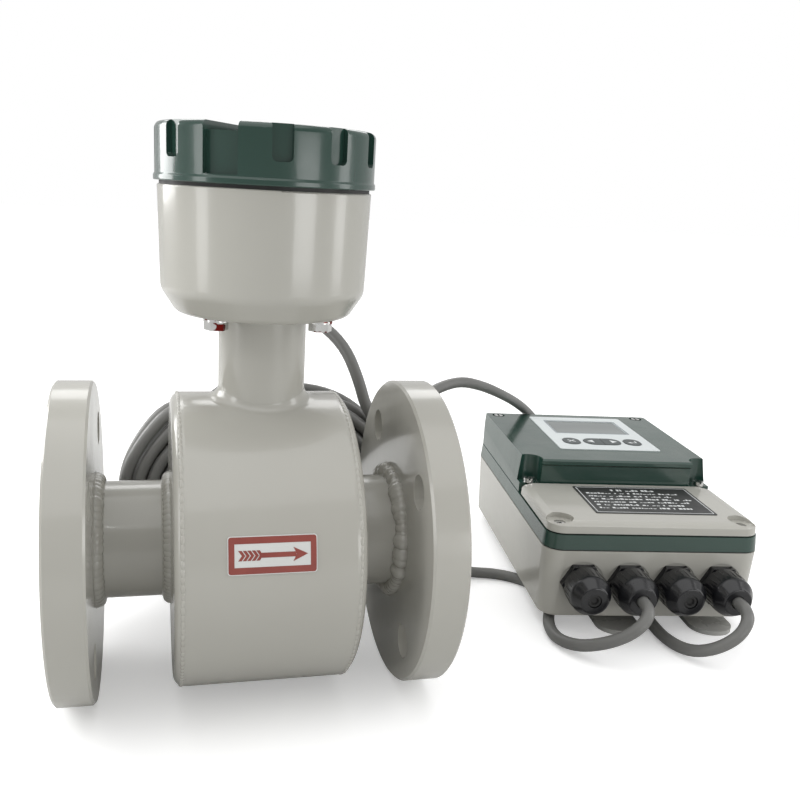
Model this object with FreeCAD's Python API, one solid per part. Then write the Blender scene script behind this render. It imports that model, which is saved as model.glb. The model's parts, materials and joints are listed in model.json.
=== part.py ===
import FreeCAD, Part
import math
import os

# Split electromagnetic flow meter: a DN50 flanged flow sensor and the wall-mount converter
# that belongs to it, joined by two screened cables. Units are millimetres.
# The origin is the middle of the flow bore, X runs with the flow, Z is up.

V = FreeCAD.Vector
X_AXIS = V(1, 0, 0)
Y_AXIS = V(0, 1, 0)
Z_AXIS = V(0, 0, 1)
ORIGIN = V(0, 0, 0)

# Fits
weld_fit = 0.05             # radial gap of a piece that is set into another and welded
slip_fit = 0.15             # radial gap of a piece that slides in by hand
thread_fit = 0.05           # radial gap of a thread drawn as plain cylinders
cut_past = 1.0              # how far a cutting form reaches past the face that it opens
fuse_into = 1.0             # how far a form reaches into the one that it is fused to
touch = 0.01                # nearer than this counts as lying on a surface

# Measuring tube, liner and flanges
face_to_face = 200.0
flow_bore = 50.0
liner_flare_diameter = 99.0
liner_flare_thickness = 2.5
tube_diameter = 60.3
tube_wall = 2.8
flange_diameter = 165.0
flange_thickness = 19.0
flange_edge_chamfer = 1.2
bolt_circle_diameter = 125.0
bolt_hole_diameter = 18.0
bolt_hole_count = 4
bolt_hole_turn = 52.0       # degrees from +Y towards +Z to the first hole
weld_leg = 5.0
weld_toe_radius = 1.5

# Coil housing
housing_diameter = 153.4
housing_length = 90.0
housing_offset = 4.0        # housing middle, along X from the middle of the bore
housing_wall = 3.0
housing_edge_radius = 6.0
housing_end_rim = 8.0       # length of each end plate's rim along X

# Coils, poles and electrodes
pole_shoe_thickness = 4.0
pole_shoe_length = 46.0
pole_shoe_width = 42.0
pole_core_diameter = 18.0
coil_diameter = 44.0
coil_head_room = 9.7        # from a coil to the yoke, along the pole
coil_corner = 2.0
yoke_gap = 6.7              # radial space between the yoke and the housing
yoke_thickness = 3.0
yoke_width = 44.0
wire_hole = 7.0             # for the coil and electrode wires, on their way up the neck
wire_hole_gap = 1.0         # from that hole to the pole core
electrode_diameter = 5.0
electrode_length = 17.0
sleeve_wall = 2.4
sleeve_length = 7.5
electrode_nut_width = 10.0
electrode_nut_height = 3.2

# Neck and terminal head
neck_offset = 5.0           # neck axis, along X from the middle of the bore
neck_diameter = 44.0
neck_wall = 2.5
neck_weld_leg = 6.0
neck_reach_in = 3.0         # how far the neck stands out of the housing's inside
head_floor_level = 120.0    # underside of the head above the bore axis
head_height = 60.4
head_taper = 1.3            # how much the side leans in, from the rim to the floor
head_corner_run = 7.4       # from the foot of the side in to the flat underside
head_floor_radius = 5.0
head_corner_rise = 11.5
head_corner_radius = 9.0
head_rim_radius = 0.8
head_bore_floor_radius = 4.0
head_wall = 5.5             # at the rim
head_floor_thickness = 5.0
neck_gasket_thickness = 1.0
neck_gasket_inset = 1.0
neck_plate_beyond_bolts = 18.0      # from the lines of the bolts to the plate's rim
neck_plate_to_bore = 3.2    # radial space between the plate and the head
neck_plate_thickness = 6.0
neck_plate_edge_radius = 1.0
head_bolt_spacing = 50.0    # side of the square of four bolts
head_bolt_diameter = 6.0
head_bolt_hole = 6.6
head_bolt_across_flats = 10.0
head_bolt_head_height = 4.0
head_washer_diameter = 12.0
head_washer_thickness = 1.2

# The head grows outwards from its four bolts
neck_plate_diameter = head_bolt_spacing + 2 * neck_plate_beyond_bolts
head_bore_diameter = neck_plate_diameter + 2 * neck_plate_to_bore
head_rim_diameter = head_bore_diameter + 2 * head_wall
head_floor_flat = head_rim_diameter / 2 - head_taper - head_corner_run

# Screw cap and its seal
cap_overhang = 1.1          # how far the cap's side stands out past the head's rim
cap_height = 26.4
cap_gap = 1.6               # space for the seal between the head's rim and the cap
cap_top_thickness = 6.0
cap_bead_stand = 0.6        # how far the bead stands out of the cap's side
cap_bead_height = 2.4
cap_bead_edge_radius = 0.6
cap_bead_blend_rise = 1.0   # slope from the bead up to the side
cap_bead_blend_radius = 0.5
cap_edge_radius = 3.0
cap_inner_radius = 3.0
cap_thread_length = 13.0
cap_thread_wall = 4.0
cap_thread_edge_radius = 1.0
grip_count = 12
grip_turn = -89.0           # degrees from +X to the first grip pocket
grip_width = 9.5
grip_height = 16.0
grip_depth = 2.8
grip_corner = 2.5
bar_slot_turn = -119.0      # degrees from +X to the slot for a tommy bar
bar_slot_width = 16.5
bar_slot_depth = 4.0
bar_notch_depth = 4.5
bar_notch_stand = 1.5       # from the bead up to the notch
bar_notch_corner = 0.5
cap_seal_width = 4.5

# Terminal board in the head
board_thickness = 1.6
head_board_to_bore = 10.2
head_board_level = 145.0
head_post_radius = 3.0
head_post_from_edge = 6.0   # from the board's rim in to the middle of a post
head_post_turns = (30, 150, 270)
head_board_wire_hole = 16.0
head_board_wire_place = 22.0
head_strip_length = 50.0
head_strip_width = 14.0
head_strip_height = 12.0
head_strip_ways = 5
head_strip_place = -6.0

# Terminal strips, in shares of the strip's own width, height and pitch
strip_step = 0.35
strip_step_height = 0.7
strip_edge_radius = 0.5     # this one in millimetres
strip_mouth_pitch = 0.6
strip_mouth_width = 0.4
strip_mouth_height = 0.35
strip_mouth_start = 0.1
strip_mouth_rise = 0.15
strip_well_radius = 0.25
strip_well_place = 0.18
strip_well_floor = 0.55

# Cable glands, M20
gland_thread_diameter = 20.0
gland_across_flats = 24.0
gland_hex_height = 5.0
gland_collar_diameter = 21.0
gland_collar_height = 9.0
gland_stem_length = 9.0
gland_nut_diameter = 25.6
gland_nut_length = 21.5
gland_nut_mouth = 17.0
gland_nut_lift = 0.5        # space between the nut and the hexagon
gland_nut_dome = 7.0
gland_nut_dome_radius = 5.0
gland_nut_mouth_radius = 1.5
gland_nut_mouth_gap = 0.5   # radial, round the cable
gland_nut_mouth_depth = 4.0
gland_nut_throat = 1.5      # how much wider the nut's throat is than the gland's bore
gland_nut_end_gap = 1.0     # from the collar to the nut's inner shoulder
gland_bore = 12.0
gland_seal_length = 9.0
gland_seal_nose = 8.0       # how far the seal stands out of the collar, under the nut
gland_seal_nose_wall = 0.6
gland_plug_gap = 0.1
gland_plug_sink = 0.8
gland_plug_edge_radius = 0.4
gland_plug_dish_diameter = 5.2
gland_plug_dish_floor = 4.4
gland_plug_dish_depth = 1.4
locknut_thickness = 2.7
locknut_stand_off = 0.3     # clears the sloping inside of the wall
head_gland_level = 150.0
head_gland_turns = (110.0, 70.0)   # degrees from +X round the head
head_boss_diameter = 29.0
head_boss_stand = 3.3       # how far a boss stands out of the head's rim

# Flow arrow plate on the housing
arrow_plate_length = 41.2
arrow_plate_height = 17.8
arrow_plate_thickness = 0.4
arrow_plate_corner = 1.5
arrow_plate_offset = 3.1    # its middle along X
arrow_plate_turn = 14.8     # degrees up from the front of the housing

# Converter: where it lies beside the sensor
converter_x = 270.1
converter_y = 114.9
converter_turn = -8.25
floor_level = -flange_diameter / 2

# Converter base, seen with its back on the floor: x across, y along, z up
case_width = 140.0
case_length = 209.0
case_corner = 12.0
case_draft = 1.7            # how much each side leans in, from the joint to the back
case_wall = 3.0
foot_thickness = 3.0
foot_gap = 7.0              # height of the pads between the feet and the case back
base_height = 44.5
base_pad_diameter = 16.0
base_pad_from_end = 39.71   # from the end of the case to the middle of a pad
case_gasket_thickness = 0.8
case_gasket_inset = 0.8
pillar_diameter = 10.0
case_screw_diameter = 4.0

# Converter cover
band_height = 9.4
band_draft = 0.8
display_block_start = -25.0
display_block_height = 24.8     # from the top of the band to the display face
display_front_corner = 0.5
display_rear_corner = 10.0
display_front_chamfer = 1.2
display_rear_chamfer = 3.0
display_rear_past = 0.2     # the side profile ends this far behind the block
display_lip = 1.5
display_lip_height = 3.5
display_lip_radius = 0.4
display_side_inset = 1.2
display_room_front_radius = 2.0
display_room_rear_radius = 8.0
facet_front_drop = 18.8
facet_rear_drop = 10.5
facet_inset = 2.6
facet_front_past = 5.0      # the sloping cut starts and ends this far from the block
facet_rear_past = 1.0
facet_rise = 2.0
facet_reach = 10.0
pocket_radius = 8.5
pocket_depth = 17.5
pocket_wall = 2.0
rear_pocket_radius = 5.0
rear_pocket_depth = 3.0
rear_pocket_wall = 1.5
cover_screw_from_side = (8.0, 12.0)     # front pair, rear pair
cover_screw_front_set_back = 2.0        # behind the front of the display block
cover_screw_from_back = 10.5
cover_screw_head = 7.0
cover_screw_head_height = 3.0
cover_screw_length = 14.0
screw_slot = 1.2
opening_from_side = 19.0
opening_from_front = 22.5
opening_to_block = 1.5
opening_corner = 4.0

# Terminal cover and its plate
terminal_cover_height = 6.8
terminal_cover_inset = 1.6
terminal_cover_edge = 4.6
terminal_cover_edge_inset = 0.3
terminal_cover_bevel_inset = 1.6
terminal_cover_bevel_rise = 1.2
terminal_cover_top_inset = 6.5
terminal_cover_top_wall = 3.0
terminal_cover_to_block = 0.6
terminal_cover_rear_corner = 4.0
terminal_room_side = 1.0    # how much narrower the room is than the opening below it
terminal_room_start = 4.0
terminal_room_length = 60.0
terminal_gasket_thickness = 0.8
terminal_gasket_inset = 0.9
terminal_gasket_rear_inset = 0.5
terminal_gasket_to_block = 3.0
terminal_screw_from_side = 10.5
terminal_screw_from_front = 12.5
terminal_scoop_radius = 8.5
terminal_scoop_floor = 3.6
terminal_screw_sink = 3.0
terminal_screw_head = 6.4
terminal_screw_head_height = 2.4
terminal_screw_gap = 0.4
terminal_screw_recess = 3.0
terminal_screw_recess_floor = 1.0
name_plate_width = 81.0
name_plate_length = 51.5
name_plate_thickness = 0.4
name_plate_corner = 1.0
name_plate_centre = (7.0, -58.6)

# Display, keys and boards
overlay_width = 75.0
overlay_length = 90.5
overlay_thickness = 0.5
overlay_shift = (4.0, 5.25)         # from the middle of the display block
overlay_corner = 2.0
lcd_width = 56.0
lcd_length = 35.0
lcd_shift = (4.5, 21.25)
lcd_corner = 1.0
lcd_window_gap = 1.0
lcd_glass_rim = 0.7
lcd_glass_corner = 0.8
lcd_glass_foot = 2.0        # height of the frame's back under the glass
lcd_frame_side = 6.0
lcd_frame_end = 4.0
lcd_frame_corner = 1.5
lcd_frame_gap = 0.3
face_wall = 3.0
key_row_shift = -19.75
key_width = 12.5
key_length = 16.0
key_places = (-19.5, 27.3)
rocker_width = 28.0
rocker_place = 4.0
rocker_split = 0.4
key_clearance = 0.3
key_proud = 0.4
key_travel = 0.6
key_flange = 1.0
key_flange_thickness = 1.2
key_flange_corner = 1.0
key_end_flat = 0.01         # keeps the two arcs of a round end apart
rocker_end_flat = 0.5
dome_gap = 0.1
dome_height = 1.7
dome_radius = 4.0
dome_top_radius = 2.5
dome_edge_radius = 0.5
board_corner = 3.0
display_board_size = (100.0, 100.0)
display_post_radius = 2.5
display_post_inset = 4.0
main_board_size = (100.0, 150.0)
main_board_level = 27.0
main_board_from_front = 17.5
board_post_radius = 3.5
board_post_inset = 6.0
power_module_size = (46.0, 38.0, 26.0)
power_module_corner = 2.0
power_module_from_side = 32.0       # from the board's left edge to the module's middle
power_module_from_rear = 35.0
power_core_size = (54.0, 17.1, 20.8)
power_core_corner = 1.0
terminal_block_size = (44.0, 12.0, 14.0)
terminal_block_gap = 4.0
terminal_block_from_edge = 9.0
terminal_block_ways = 6

# Feet
foot_width = 28.0
foot_front_overhang = 7.2
foot_rear_overhang = 14.0   # the wall screws go in past the back of the case
foot_places = (-16.0, 46.0)
foot_end_flat = 2.0
foot_hole = 4.5             # in the rear end of each strip
foot_hole_edge = 6.0        # from that end to the middle of the hole

# Converter glands
converter_gland_pitch = 30.0
converter_gland_from_side = 25.0    # at least, so that the locknuts clear the corners
converter_gland_level = 33.0
gland_spot_diameter = 28.6
gland_spot_depth = 1.4
gland_hole_start = 5.0      # in front of the case
gland_hole_depth = 15.0     # behind its front face

# Cables. Each route is a list of points chosen by hand along the real cable.
cable_diameter = 7.5
cable_rest = floor_level + cable_diameter / 2
run_share = 0.45            # share of the shorter run that the arc at a point takes up
cable_a_head_route = [
    (-16.5, 59.2, 150.0), (-25.8, 84.6, 150.0), (-30.0, 111.0, 144.0), (-23.0, 134.0, 131.0),
    (-1.0, 146.0, 118.0), (27.0, 140.0, 108.0), (51.0, 121.0, 100.0), (69.0, 103.0, 86.0),
    (78.0, 94.0, 65.0), (81.5, 92.5, 42.0)]
cable_b_head_route = [
    (26.5, 59.2, 150.0), (35.8, 84.6, 150.0), (44.0, 111.0, 144.0), (48.0, 132.0, 129.0),
    (41.0, 143.0, 106.0), (22.0, 140.0, 85.0), (-4.0, 127.0, 68.0), (-32.0, 110.0, 49.0)]
cable_a_floor_route = [
    (111.5, 92.5, 4.0), (114.0, 92.5, -18.0), (119.0, 93.0, -39.0), (129.5, 95.5, -58.0),
    (146.0, 100.0, -72.0), (167.0, 103.5, -78.4), (189.0, 99.0, cable_rest),
    (205.0, 84.0, cable_rest), (209.5, 63.0, cable_rest), (203.0, 42.0, cable_rest),
    (193.0, 23.0, cable_rest), (190.0, 4.0, cable_rest), (196.0, -12.5, -75.5),
    (207.0, -22.5, -69.5), (218.5, -27.5, -63.0), (228.0, -28.5, -55.5), (234.7, -23.0, -49.8),
    (236.6, -11.6, -49.5), (238.3, -0.3, -49.5)]
cable_b_floor_route = [
    (111.0, 109.5, -16.0), (115.0, 110.0, 8.0), (117.5, 112.0, 31.0), (131.0, 117.5, 49.0),
    (157.0, 129.5, 55.5), (183.0, 149.0, 47.5), (209.0, 176.0, 35.0), (235.0, 204.0, 21.0),
    (259.0, 230.0, 5.0), (281.0, 251.0, -15.0), (296.0, 262.0, -39.0), (304.0, 259.0, -64.0),
    (307.0, 241.0, -78.0), (305.0, 215.0, cable_rest), (300.0, 174.0, cable_rest),
    (291.0, 129.0, cable_rest), (280.0, 86.0, cable_rest), (269.0, 48.0, cable_rest),
    (261.5, 18.0, cable_rest), (259.0, -8.0, cable_rest), (263.5, -27.0, -76.5),
    (273.0, -37.5, -69.5), (284.0, -41.0, -60.5), (291.5, -37.5, -52.5), (294.8, -29.5, -49.4),
    (296.0, -20.2, -49.5), (297.2, -11.9, -49.5)]

# Coils of spare cable: two oval rings that stand on the floor behind the housing
coil_centre_x = 22.0
coil_half_width = 95.0
coil_half_height = 72.5
coil_depth = 34.0           # from the outermost turn inwards
coil_thickness = 17.0
coil_front = 84.0
coil_edge = 5.0


# ---------------------------------------------------------------- drawing helpers

def rounded_wire(points, place):
    """Closed wire through (a, b, corner radius) points, put in space by place(a, b)."""
    corners = []
    count = len(points)
    for i, (a, b, radius) in enumerate(points):
        here = V(a, b, 0)
        before = V(points[i - 1][0], points[i - 1][1], 0)
        after = V(points[(i + 1) % count][0], points[(i + 1) % count][1], 0)
        back = (before - here).normalize()
        ahead = (after - here).normalize()
        if radius == 0:
            corners.append((here, None, here))
            continue
        half = back.getAngle(ahead) / 2
        reach = radius / math.tan(half)
        middle = here + (back + ahead).normalize() * (radius / math.sin(half) - radius)
        corners.append((here + back * reach, middle, here + ahead * reach))
    edges = []
    for i, (start, middle, end) in enumerate(corners):
        if middle is not None:
            edges.append(Part.Arc(place(start), place(middle), place(end)).toShape())
        following = corners[(i + 1) % count][0]
        if end.distanceToPoint(following) > 1e-6:
            edges.append(Part.LineSegment(place(end), place(following)).toShape())
    return Part.Wire(edges)


def flat(level):
    return lambda p: V(p.x, p.y, level)


def rectangle(width, length, radius, centre=(0.0, 0.0)):
    x0, x1 = centre[0] - width / 2, centre[0] + width / 2
    y0, y1 = centre[1] - length / 2, centre[1] + length / 2
    return [(x0, y0, radius), (x1, y0, radius), (x1, y1, radius), (x0, y1, radius)]


def prism(points, level, height):
    return Part.Face(rounded_wire(points, flat(level))).extrude(V(0, 0, height))


def loft(sections):
    wires = [rounded_wire(points, flat(level)) for points, level in sections]
    return Part.makeLoft(wires, True, True)


def turned_x(points):
    """Solid of revolution about the flow axis from (x, radius, corner) points."""
    face = Part.Face(rounded_wire(points, lambda p: V(p.x, 0, p.y)))
    return face.revolve(ORIGIN, X_AXIS, 360)


def turned_z(points, centre_x=0.0):
    """Solid of revolution about a vertical axis from (radius, z, corner) points."""
    face = Part.Face(rounded_wire(points, lambda p: V(centre_x + p.x, 0, p.y)))
    return face.revolve(V(centre_x, 0, 0), Z_AXIS, 360)


def cylinder(radius, length, start, direction):
    return Part.makeCylinder(radius, length, start, direction)


def hexagon(across_flats, height, start):
    radius = across_flats / math.sqrt(3)
    corners = []
    for i in range(6):
        angle = math.radians(60 * i)
        corners.append((start.x + radius * math.cos(angle), start.y + radius * math.sin(angle), 0))
    return prism(corners, start.z, height)


def on_circle(radius, angle, level=0.0):
    return V(radius * math.cos(math.radians(angle)), radius * math.sin(math.radians(angle)), level)


def save(name, *solids):
    shape = solids[0] if len(solids) == 1 else Part.makeCompound(list(solids))
    if not shape.isValid():
        print("not valid:", name)
    shape.exportStep(os.path.join("parts", name + ".step"))


# ---------------------------------------------------------------- flow sensor

face_x = face_to_face / 2
flange_x = face_x - liner_flare_thickness
tube_radius = tube_diameter / 2
tube_bore_radius = tube_radius - tube_wall
housing_x0 = housing_offset - housing_length / 2
housing_radius = housing_diameter / 2


def electrode_holes(radius, reach):
    return cylinder(radius, 2 * reach, V(housing_offset, -reach, 0), Y_AXIS)


def measuring_tube():
    tube = cylinder(tube_radius, 2 * flange_x, V(-flange_x, 0, 0), X_AXIS)
    tube = tube.cut(cylinder(tube_bore_radius, 2 * flange_x, V(-flange_x, 0, 0), X_AXIS))
    return tube.cut(electrode_holes(electrode_diameter / 2 + sleeve_wall + weld_fit, tube_radius))


def liner():
    bore = flow_bore / 2
    outside = tube_bore_radius - weld_fit
    flare = liner_flare_diameter / 2
    body = turned_x([
        (-face_x, bore, 0), (face_x, bore, 0), (face_x, flare, 0), (flange_x, flare, 0),
        (flange_x, outside, 0), (-flange_x, outside, 0), (-flange_x, flare, 0), (-face_x, flare, 0)])
    return body.cut(electrode_holes(electrode_diameter / 2 + thread_fit, tube_radius))


def flange(side):
    inner_face = flange_x - flange_thickness
    rim = flange_diameter / 2
    bore = tube_radius + weld_fit
    body = turned_x([
        (side * flange_x, bore, 0), (side * flange_x, rim - flange_edge_chamfer, 0),
        (side * (flange_x - flange_edge_chamfer), rim, 0),
        (side * (inner_face + flange_edge_chamfer), rim, 0),
        (side * inner_face, rim - flange_edge_chamfer, 0),
        (side * inner_face, bore + weld_leg, weld_toe_radius),
        (side * (inner_face - weld_leg), bore, 0)])
    for i in range(bolt_hole_count):
        angle = math.radians(bolt_hole_turn + 360 * i / bolt_hole_count)
        middle = V(-face_x, math.cos(angle) * bolt_circle_diameter / 2,
                   math.sin(angle) * bolt_circle_diameter / 2)
        body = body.cut(cylinder(bolt_hole_diameter / 2, face_to_face, middle, X_AXIS))
    return body


def on_saddle(edge):
    """True for an edge that lies on the neck and on the housing."""
    start, end = edge.ParameterRange
    for parameter in (start, (start + end) / 2, end):
        p = edge.valueAt(parameter)
        from_neck = abs(math.hypot(p.x - neck_offset, p.y) - neck_diameter / 2)
        from_housing = abs(math.hypot(p.y, p.z) - housing_radius)
        if max(from_neck, from_housing) > touch:
            return False
    return True


def neck_weld():
    """Fillet of weld metal round the saddle where the neck meets the housing."""
    drum = cylinder(housing_radius, housing_length, V(housing_x0, 0, 0), X_AXIS)
    pipe = cylinder(neck_diameter / 2, head_floor_level, V(neck_offset, 0, 0), Z_AXIS)
    joined = drum.fuse(pipe)
    seam = [edge for edge in joined.Edges if on_saddle(edge)]
    filleted = joined.makeFillet(neck_weld_leg, seam)
    return filleted.cut(drum).cut(pipe)


def housing_shell():
    start = housing_x0 + housing_end_rim
    length = housing_length - 2 * housing_end_rim
    shell = cylinder(housing_radius, length, V(start, 0, 0), X_AXIS)
    shell = shell.cut(cylinder(housing_radius - housing_wall, length, V(start, 0, 0), X_AXIS))
    shell = shell.fuse(neck_weld())
    hole = cylinder(neck_diameter / 2 + weld_fit, head_floor_level, V(neck_offset, 0, 0), Z_AXIS)
    return shell.cut(hole).removeSplitter()


def end_plate(side):
    """Pressed end of the housing: a disc with a rounded rim, welded to shell and tube."""
    outer = housing_offset + side * housing_length / 2
    inner = outer - side * housing_wall
    rim = outer - side * housing_end_rim
    bore = tube_radius + weld_fit
    radius = housing_edge_radius
    return turned_x([
        (outer + side * weld_leg, bore, 0), (outer, bore + weld_leg, weld_toe_radius),
        (outer, housing_radius, radius), (rim, housing_radius, 0),
        (rim, housing_radius - housing_wall, 0), (inner, housing_radius - housing_wall, radius / 2),
        (inner, bore, 0)])


def ring_x(outer, inner, start, length):
    ring = cylinder(outer, length, V(start, 0, 0), X_AXIS)
    return ring.cut(cylinder(inner, length, V(start, 0, 0), X_AXIS))


pole_inside = tube_radius + slip_fit
shoe_outside = pole_inside + pole_shoe_thickness
yoke_radius = housing_radius - housing_wall - yoke_gap - yoke_thickness
coil_height = yoke_radius - shoe_outside - coil_head_room


def return_yoke():
    start = housing_offset - yoke_width / 2
    yoke = ring_x(yoke_radius + yoke_thickness, yoke_radius, start, yoke_width)
    wire_spot = V(housing_offset, (pole_core_diameter + wire_hole) / 2 + wire_hole_gap, 0)
    return yoke.cut(cylinder(wire_hole / 2, housing_radius, wire_spot, Z_AXIS))


def pole_piece(side):
    start = housing_offset - pole_shoe_length / 2
    shoe = ring_x(shoe_outside, pole_inside, start, pole_shoe_length)
    half = Part.makeBox(pole_shoe_length, pole_shoe_width, shoe_outside,
                        V(start, -pole_shoe_width / 2, 0))
    core = cylinder(pole_core_diameter / 2, yoke_radius, V(housing_offset, 0, 0), Z_AXIS)
    core = core.common(ring_x(yoke_radius - weld_fit, shoe_outside - fuse_into, start, pole_shoe_length))
    piece = shoe.common(half).fuse(core)
    if side < 0:
        piece = piece.mirror(ORIGIN, Z_AXIS)
    return piece


def field_coil(side):
    """Round winding slipped over the pole core."""
    bottom = shoe_outside
    inner = pole_core_diameter / 2 + slip_fit
    coil = turned_z([
        (inner, bottom, 0), (coil_diameter / 2, bottom, coil_corner),
        (coil_diameter / 2, bottom + coil_height, coil_corner), (inner, bottom + coil_height, 0)],
        housing_offset)
    return coil if side > 0 else coil.mirror(ORIGIN, Z_AXIS)


def electrode(side):
    start = V(housing_offset, side * flow_bore / 2, 0)
    return cylinder(electrode_diameter / 2, electrode_length, start, V(0, side, 0))


def electrode_sleeve(side):
    start = V(housing_offset, side * (tube_bore_radius + weld_fit), 0)
    sleeve = cylinder(electrode_diameter / 2 + sleeve_wall, sleeve_length, start, V(0, side, 0))
    hole = cylinder(electrode_diameter / 2 + thread_fit, sleeve_length, start, V(0, side, 0))
    return sleeve.cut(hole)


def electrode_nut(side):
    nut = hexagon(electrode_nut_width, electrode_nut_height, ORIGIN)
    nut = nut.cut(cylinder(electrode_diameter / 2 + thread_fit, electrode_nut_height, ORIGIN, Z_AXIS))
    nut.rotate(ORIGIN, X_AXIS, -90 * side)
    seat = tube_bore_radius + weld_fit + sleeve_length
    nut.translate(V(housing_offset, side * seat, 0))
    return nut


head_inside_floor = head_floor_level + head_floor_thickness
neck_plate_level = head_inside_floor + neck_gasket_thickness
neck_top = neck_plate_level + neck_plate_thickness
head_rim_level = head_floor_level + head_height


def neck_tube():
    inside = housing_radius - housing_wall - neck_reach_in
    tube = cylinder(neck_diameter / 2, neck_top - inside, V(neck_offset, 0, inside), Z_AXIS)
    return tube.cut(cylinder(neck_diameter / 2 - neck_wall, neck_top, V(neck_offset, 0, 0), Z_AXIS))


def bolt_places():
    half = head_bolt_spacing / 2
    return [(neck_offset + a * half, b * half) for a in (-1, 1) for b in (-1, 1)]


def drilled(solid, radius):
    for x, y in bolt_places():
        solid = solid.cut(cylinder(radius, neck_top, V(x, y, head_floor_level - cut_past), Z_AXIS))
    return solid


def neck_plate():
    plate = turned_z([
        (neck_diameter / 2 + weld_fit, neck_plate_level, 0),
        (neck_plate_diameter / 2, neck_plate_level, 0),
        (neck_plate_diameter / 2, neck_top, neck_plate_edge_radius),
        (neck_diameter / 2 + weld_fit, neck_top, 0)], neck_offset)
    return drilled(plate, head_bolt_diameter / 2 + thread_fit)


def neck_gasket():
    rim = neck_plate_diameter / 2 - neck_gasket_inset
    ring = turned_z([
        (neck_diameter / 2 + slip_fit, head_inside_floor, 0),
        (rim, head_inside_floor, 0),
        (rim, neck_plate_level, 0),
        (neck_diameter / 2 + slip_fit, neck_plate_level, 0)], neck_offset)
    return drilled(ring, head_bolt_hole / 2)


head_boss_reach = head_rim_diameter / 2 + head_boss_stand


def head_gland_frame(turn):
    """Placement that puts a gland's seat on the head's boss, pointing outwards."""
    outward = on_circle(1.0, turn)
    base = V(neck_offset, 0, head_gland_level) + outward * head_boss_reach
    return FreeCAD.Placement(base, FreeCAD.Rotation(Z_AXIS, outward))


def terminal_housing():
    rim = head_rim_diameter / 2
    foot = rim - head_taper
    outside = turned_z([
        (neck_diameter / 2 + slip_fit, head_floor_level, 0),
        (head_floor_flat, head_floor_level, head_floor_radius),
        (foot, head_floor_level + head_corner_rise, head_corner_radius),
        (rim, head_rim_level, head_rim_radius),
        (neck_diameter / 2 + slip_fit, head_rim_level, 0)], neck_offset)
    cavity = turned_z([
        (0, head_inside_floor, 0),
        (head_bore_diameter / 2, head_inside_floor, head_bore_floor_radius),
        (head_bore_diameter / 2, head_rim_level, 0), (0, head_rim_level, 0)], neck_offset)
    body = outside
    for turn in head_gland_turns:
        outward = on_circle(1.0, turn)
        centre = V(neck_offset, 0, head_gland_level)
        boss = cylinder(head_boss_diameter / 2, head_boss_reach, centre, outward)
        body = body.fuse(boss)
    body = body.cut(cavity)
    for turn in head_gland_turns:
        outward = on_circle(1.0, turn)
        centre = V(neck_offset, 0, head_gland_level)
        hole = cylinder(gland_thread_diameter / 2 + thread_fit, head_boss_reach, centre, outward)
        body = body.cut(hole)
    return drilled(body, head_bolt_hole / 2).removeSplitter()


def head_bolt(x, y):
    """Hexagon screw with a washer under its head, put in from below."""
    seat = head_floor_level
    washer = cylinder(head_washer_diameter / 2, head_washer_thickness,
                      V(x, y, seat - head_washer_thickness), Z_AXIS)
    head_bottom = seat - head_washer_thickness - head_bolt_head_height
    head = hexagon(head_bolt_across_flats, head_bolt_head_height, V(x, y, head_bottom))
    shank = cylinder(head_bolt_diameter / 2, neck_top - head_bottom, V(x, y, head_bottom), Z_AXIS)
    return washer.fuse(head).fuse(shank)


head_board_radius = head_bore_diameter / 2 - head_board_to_bore
head_post_circle = head_board_radius - head_post_from_edge


def head_board():
    board = cylinder(head_board_radius, board_thickness, V(neck_offset, 0, head_board_level), Z_AXIS)
    wire_spot = V(neck_offset, head_board_wire_place, head_board_level)
    return board.cut(cylinder(head_board_wire_hole / 2, board_thickness, wire_spot, Z_AXIS))


def head_posts():
    posts = []
    for turn in head_post_turns:
        spot = V(neck_offset, 0, 0) + on_circle(head_post_circle, turn, neck_top)
        posts.append(cylinder(head_post_radius, head_board_level - neck_top, spot, Z_AXIS))
    return posts


def terminal_strip(length, width, height, ways):
    """Row of wire clamps: a stepped body with a wire mouth and a screw well for each way."""
    step = width * strip_step
    profile = [(-width / 2, 0, 0), (width / 2, 0, 0), (width / 2, height * strip_step_height, 0),
               (width / 2 - step, height, strip_edge_radius), (-width / 2, height, strip_edge_radius)]
    wire = rounded_wire(profile, lambda p: V(-length / 2, p.x, p.y))
    body = Part.Face(wire).extrude(V(length, 0, 0))
    pitch = length / ways
    mouth_length = pitch * strip_mouth_pitch
    for i in range(ways):
        x = -length / 2 + pitch * (i + 0.5)
        mouth = Part.makeBox(mouth_length, width * strip_mouth_width, height * strip_mouth_height,
                             V(x - mouth_length / 2, width * strip_mouth_start, height * strip_mouth_rise))
        well = cylinder(pitch * strip_well_radius, height,
                        V(x, -width * strip_well_place, height * strip_well_floor), Z_AXIS)
        body = body.cut(mouth).cut(well)
    return body


def head_strip():
    strip = terminal_strip(head_strip_length, head_strip_width, head_strip_height, head_strip_ways)
    strip.translate(V(neck_offset, head_strip_place, head_board_level + board_thickness))
    return strip


cap_diameter = head_rim_diameter + 2 * cap_overhang
cap_bead_diameter = cap_diameter + 2 * cap_bead_stand


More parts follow.
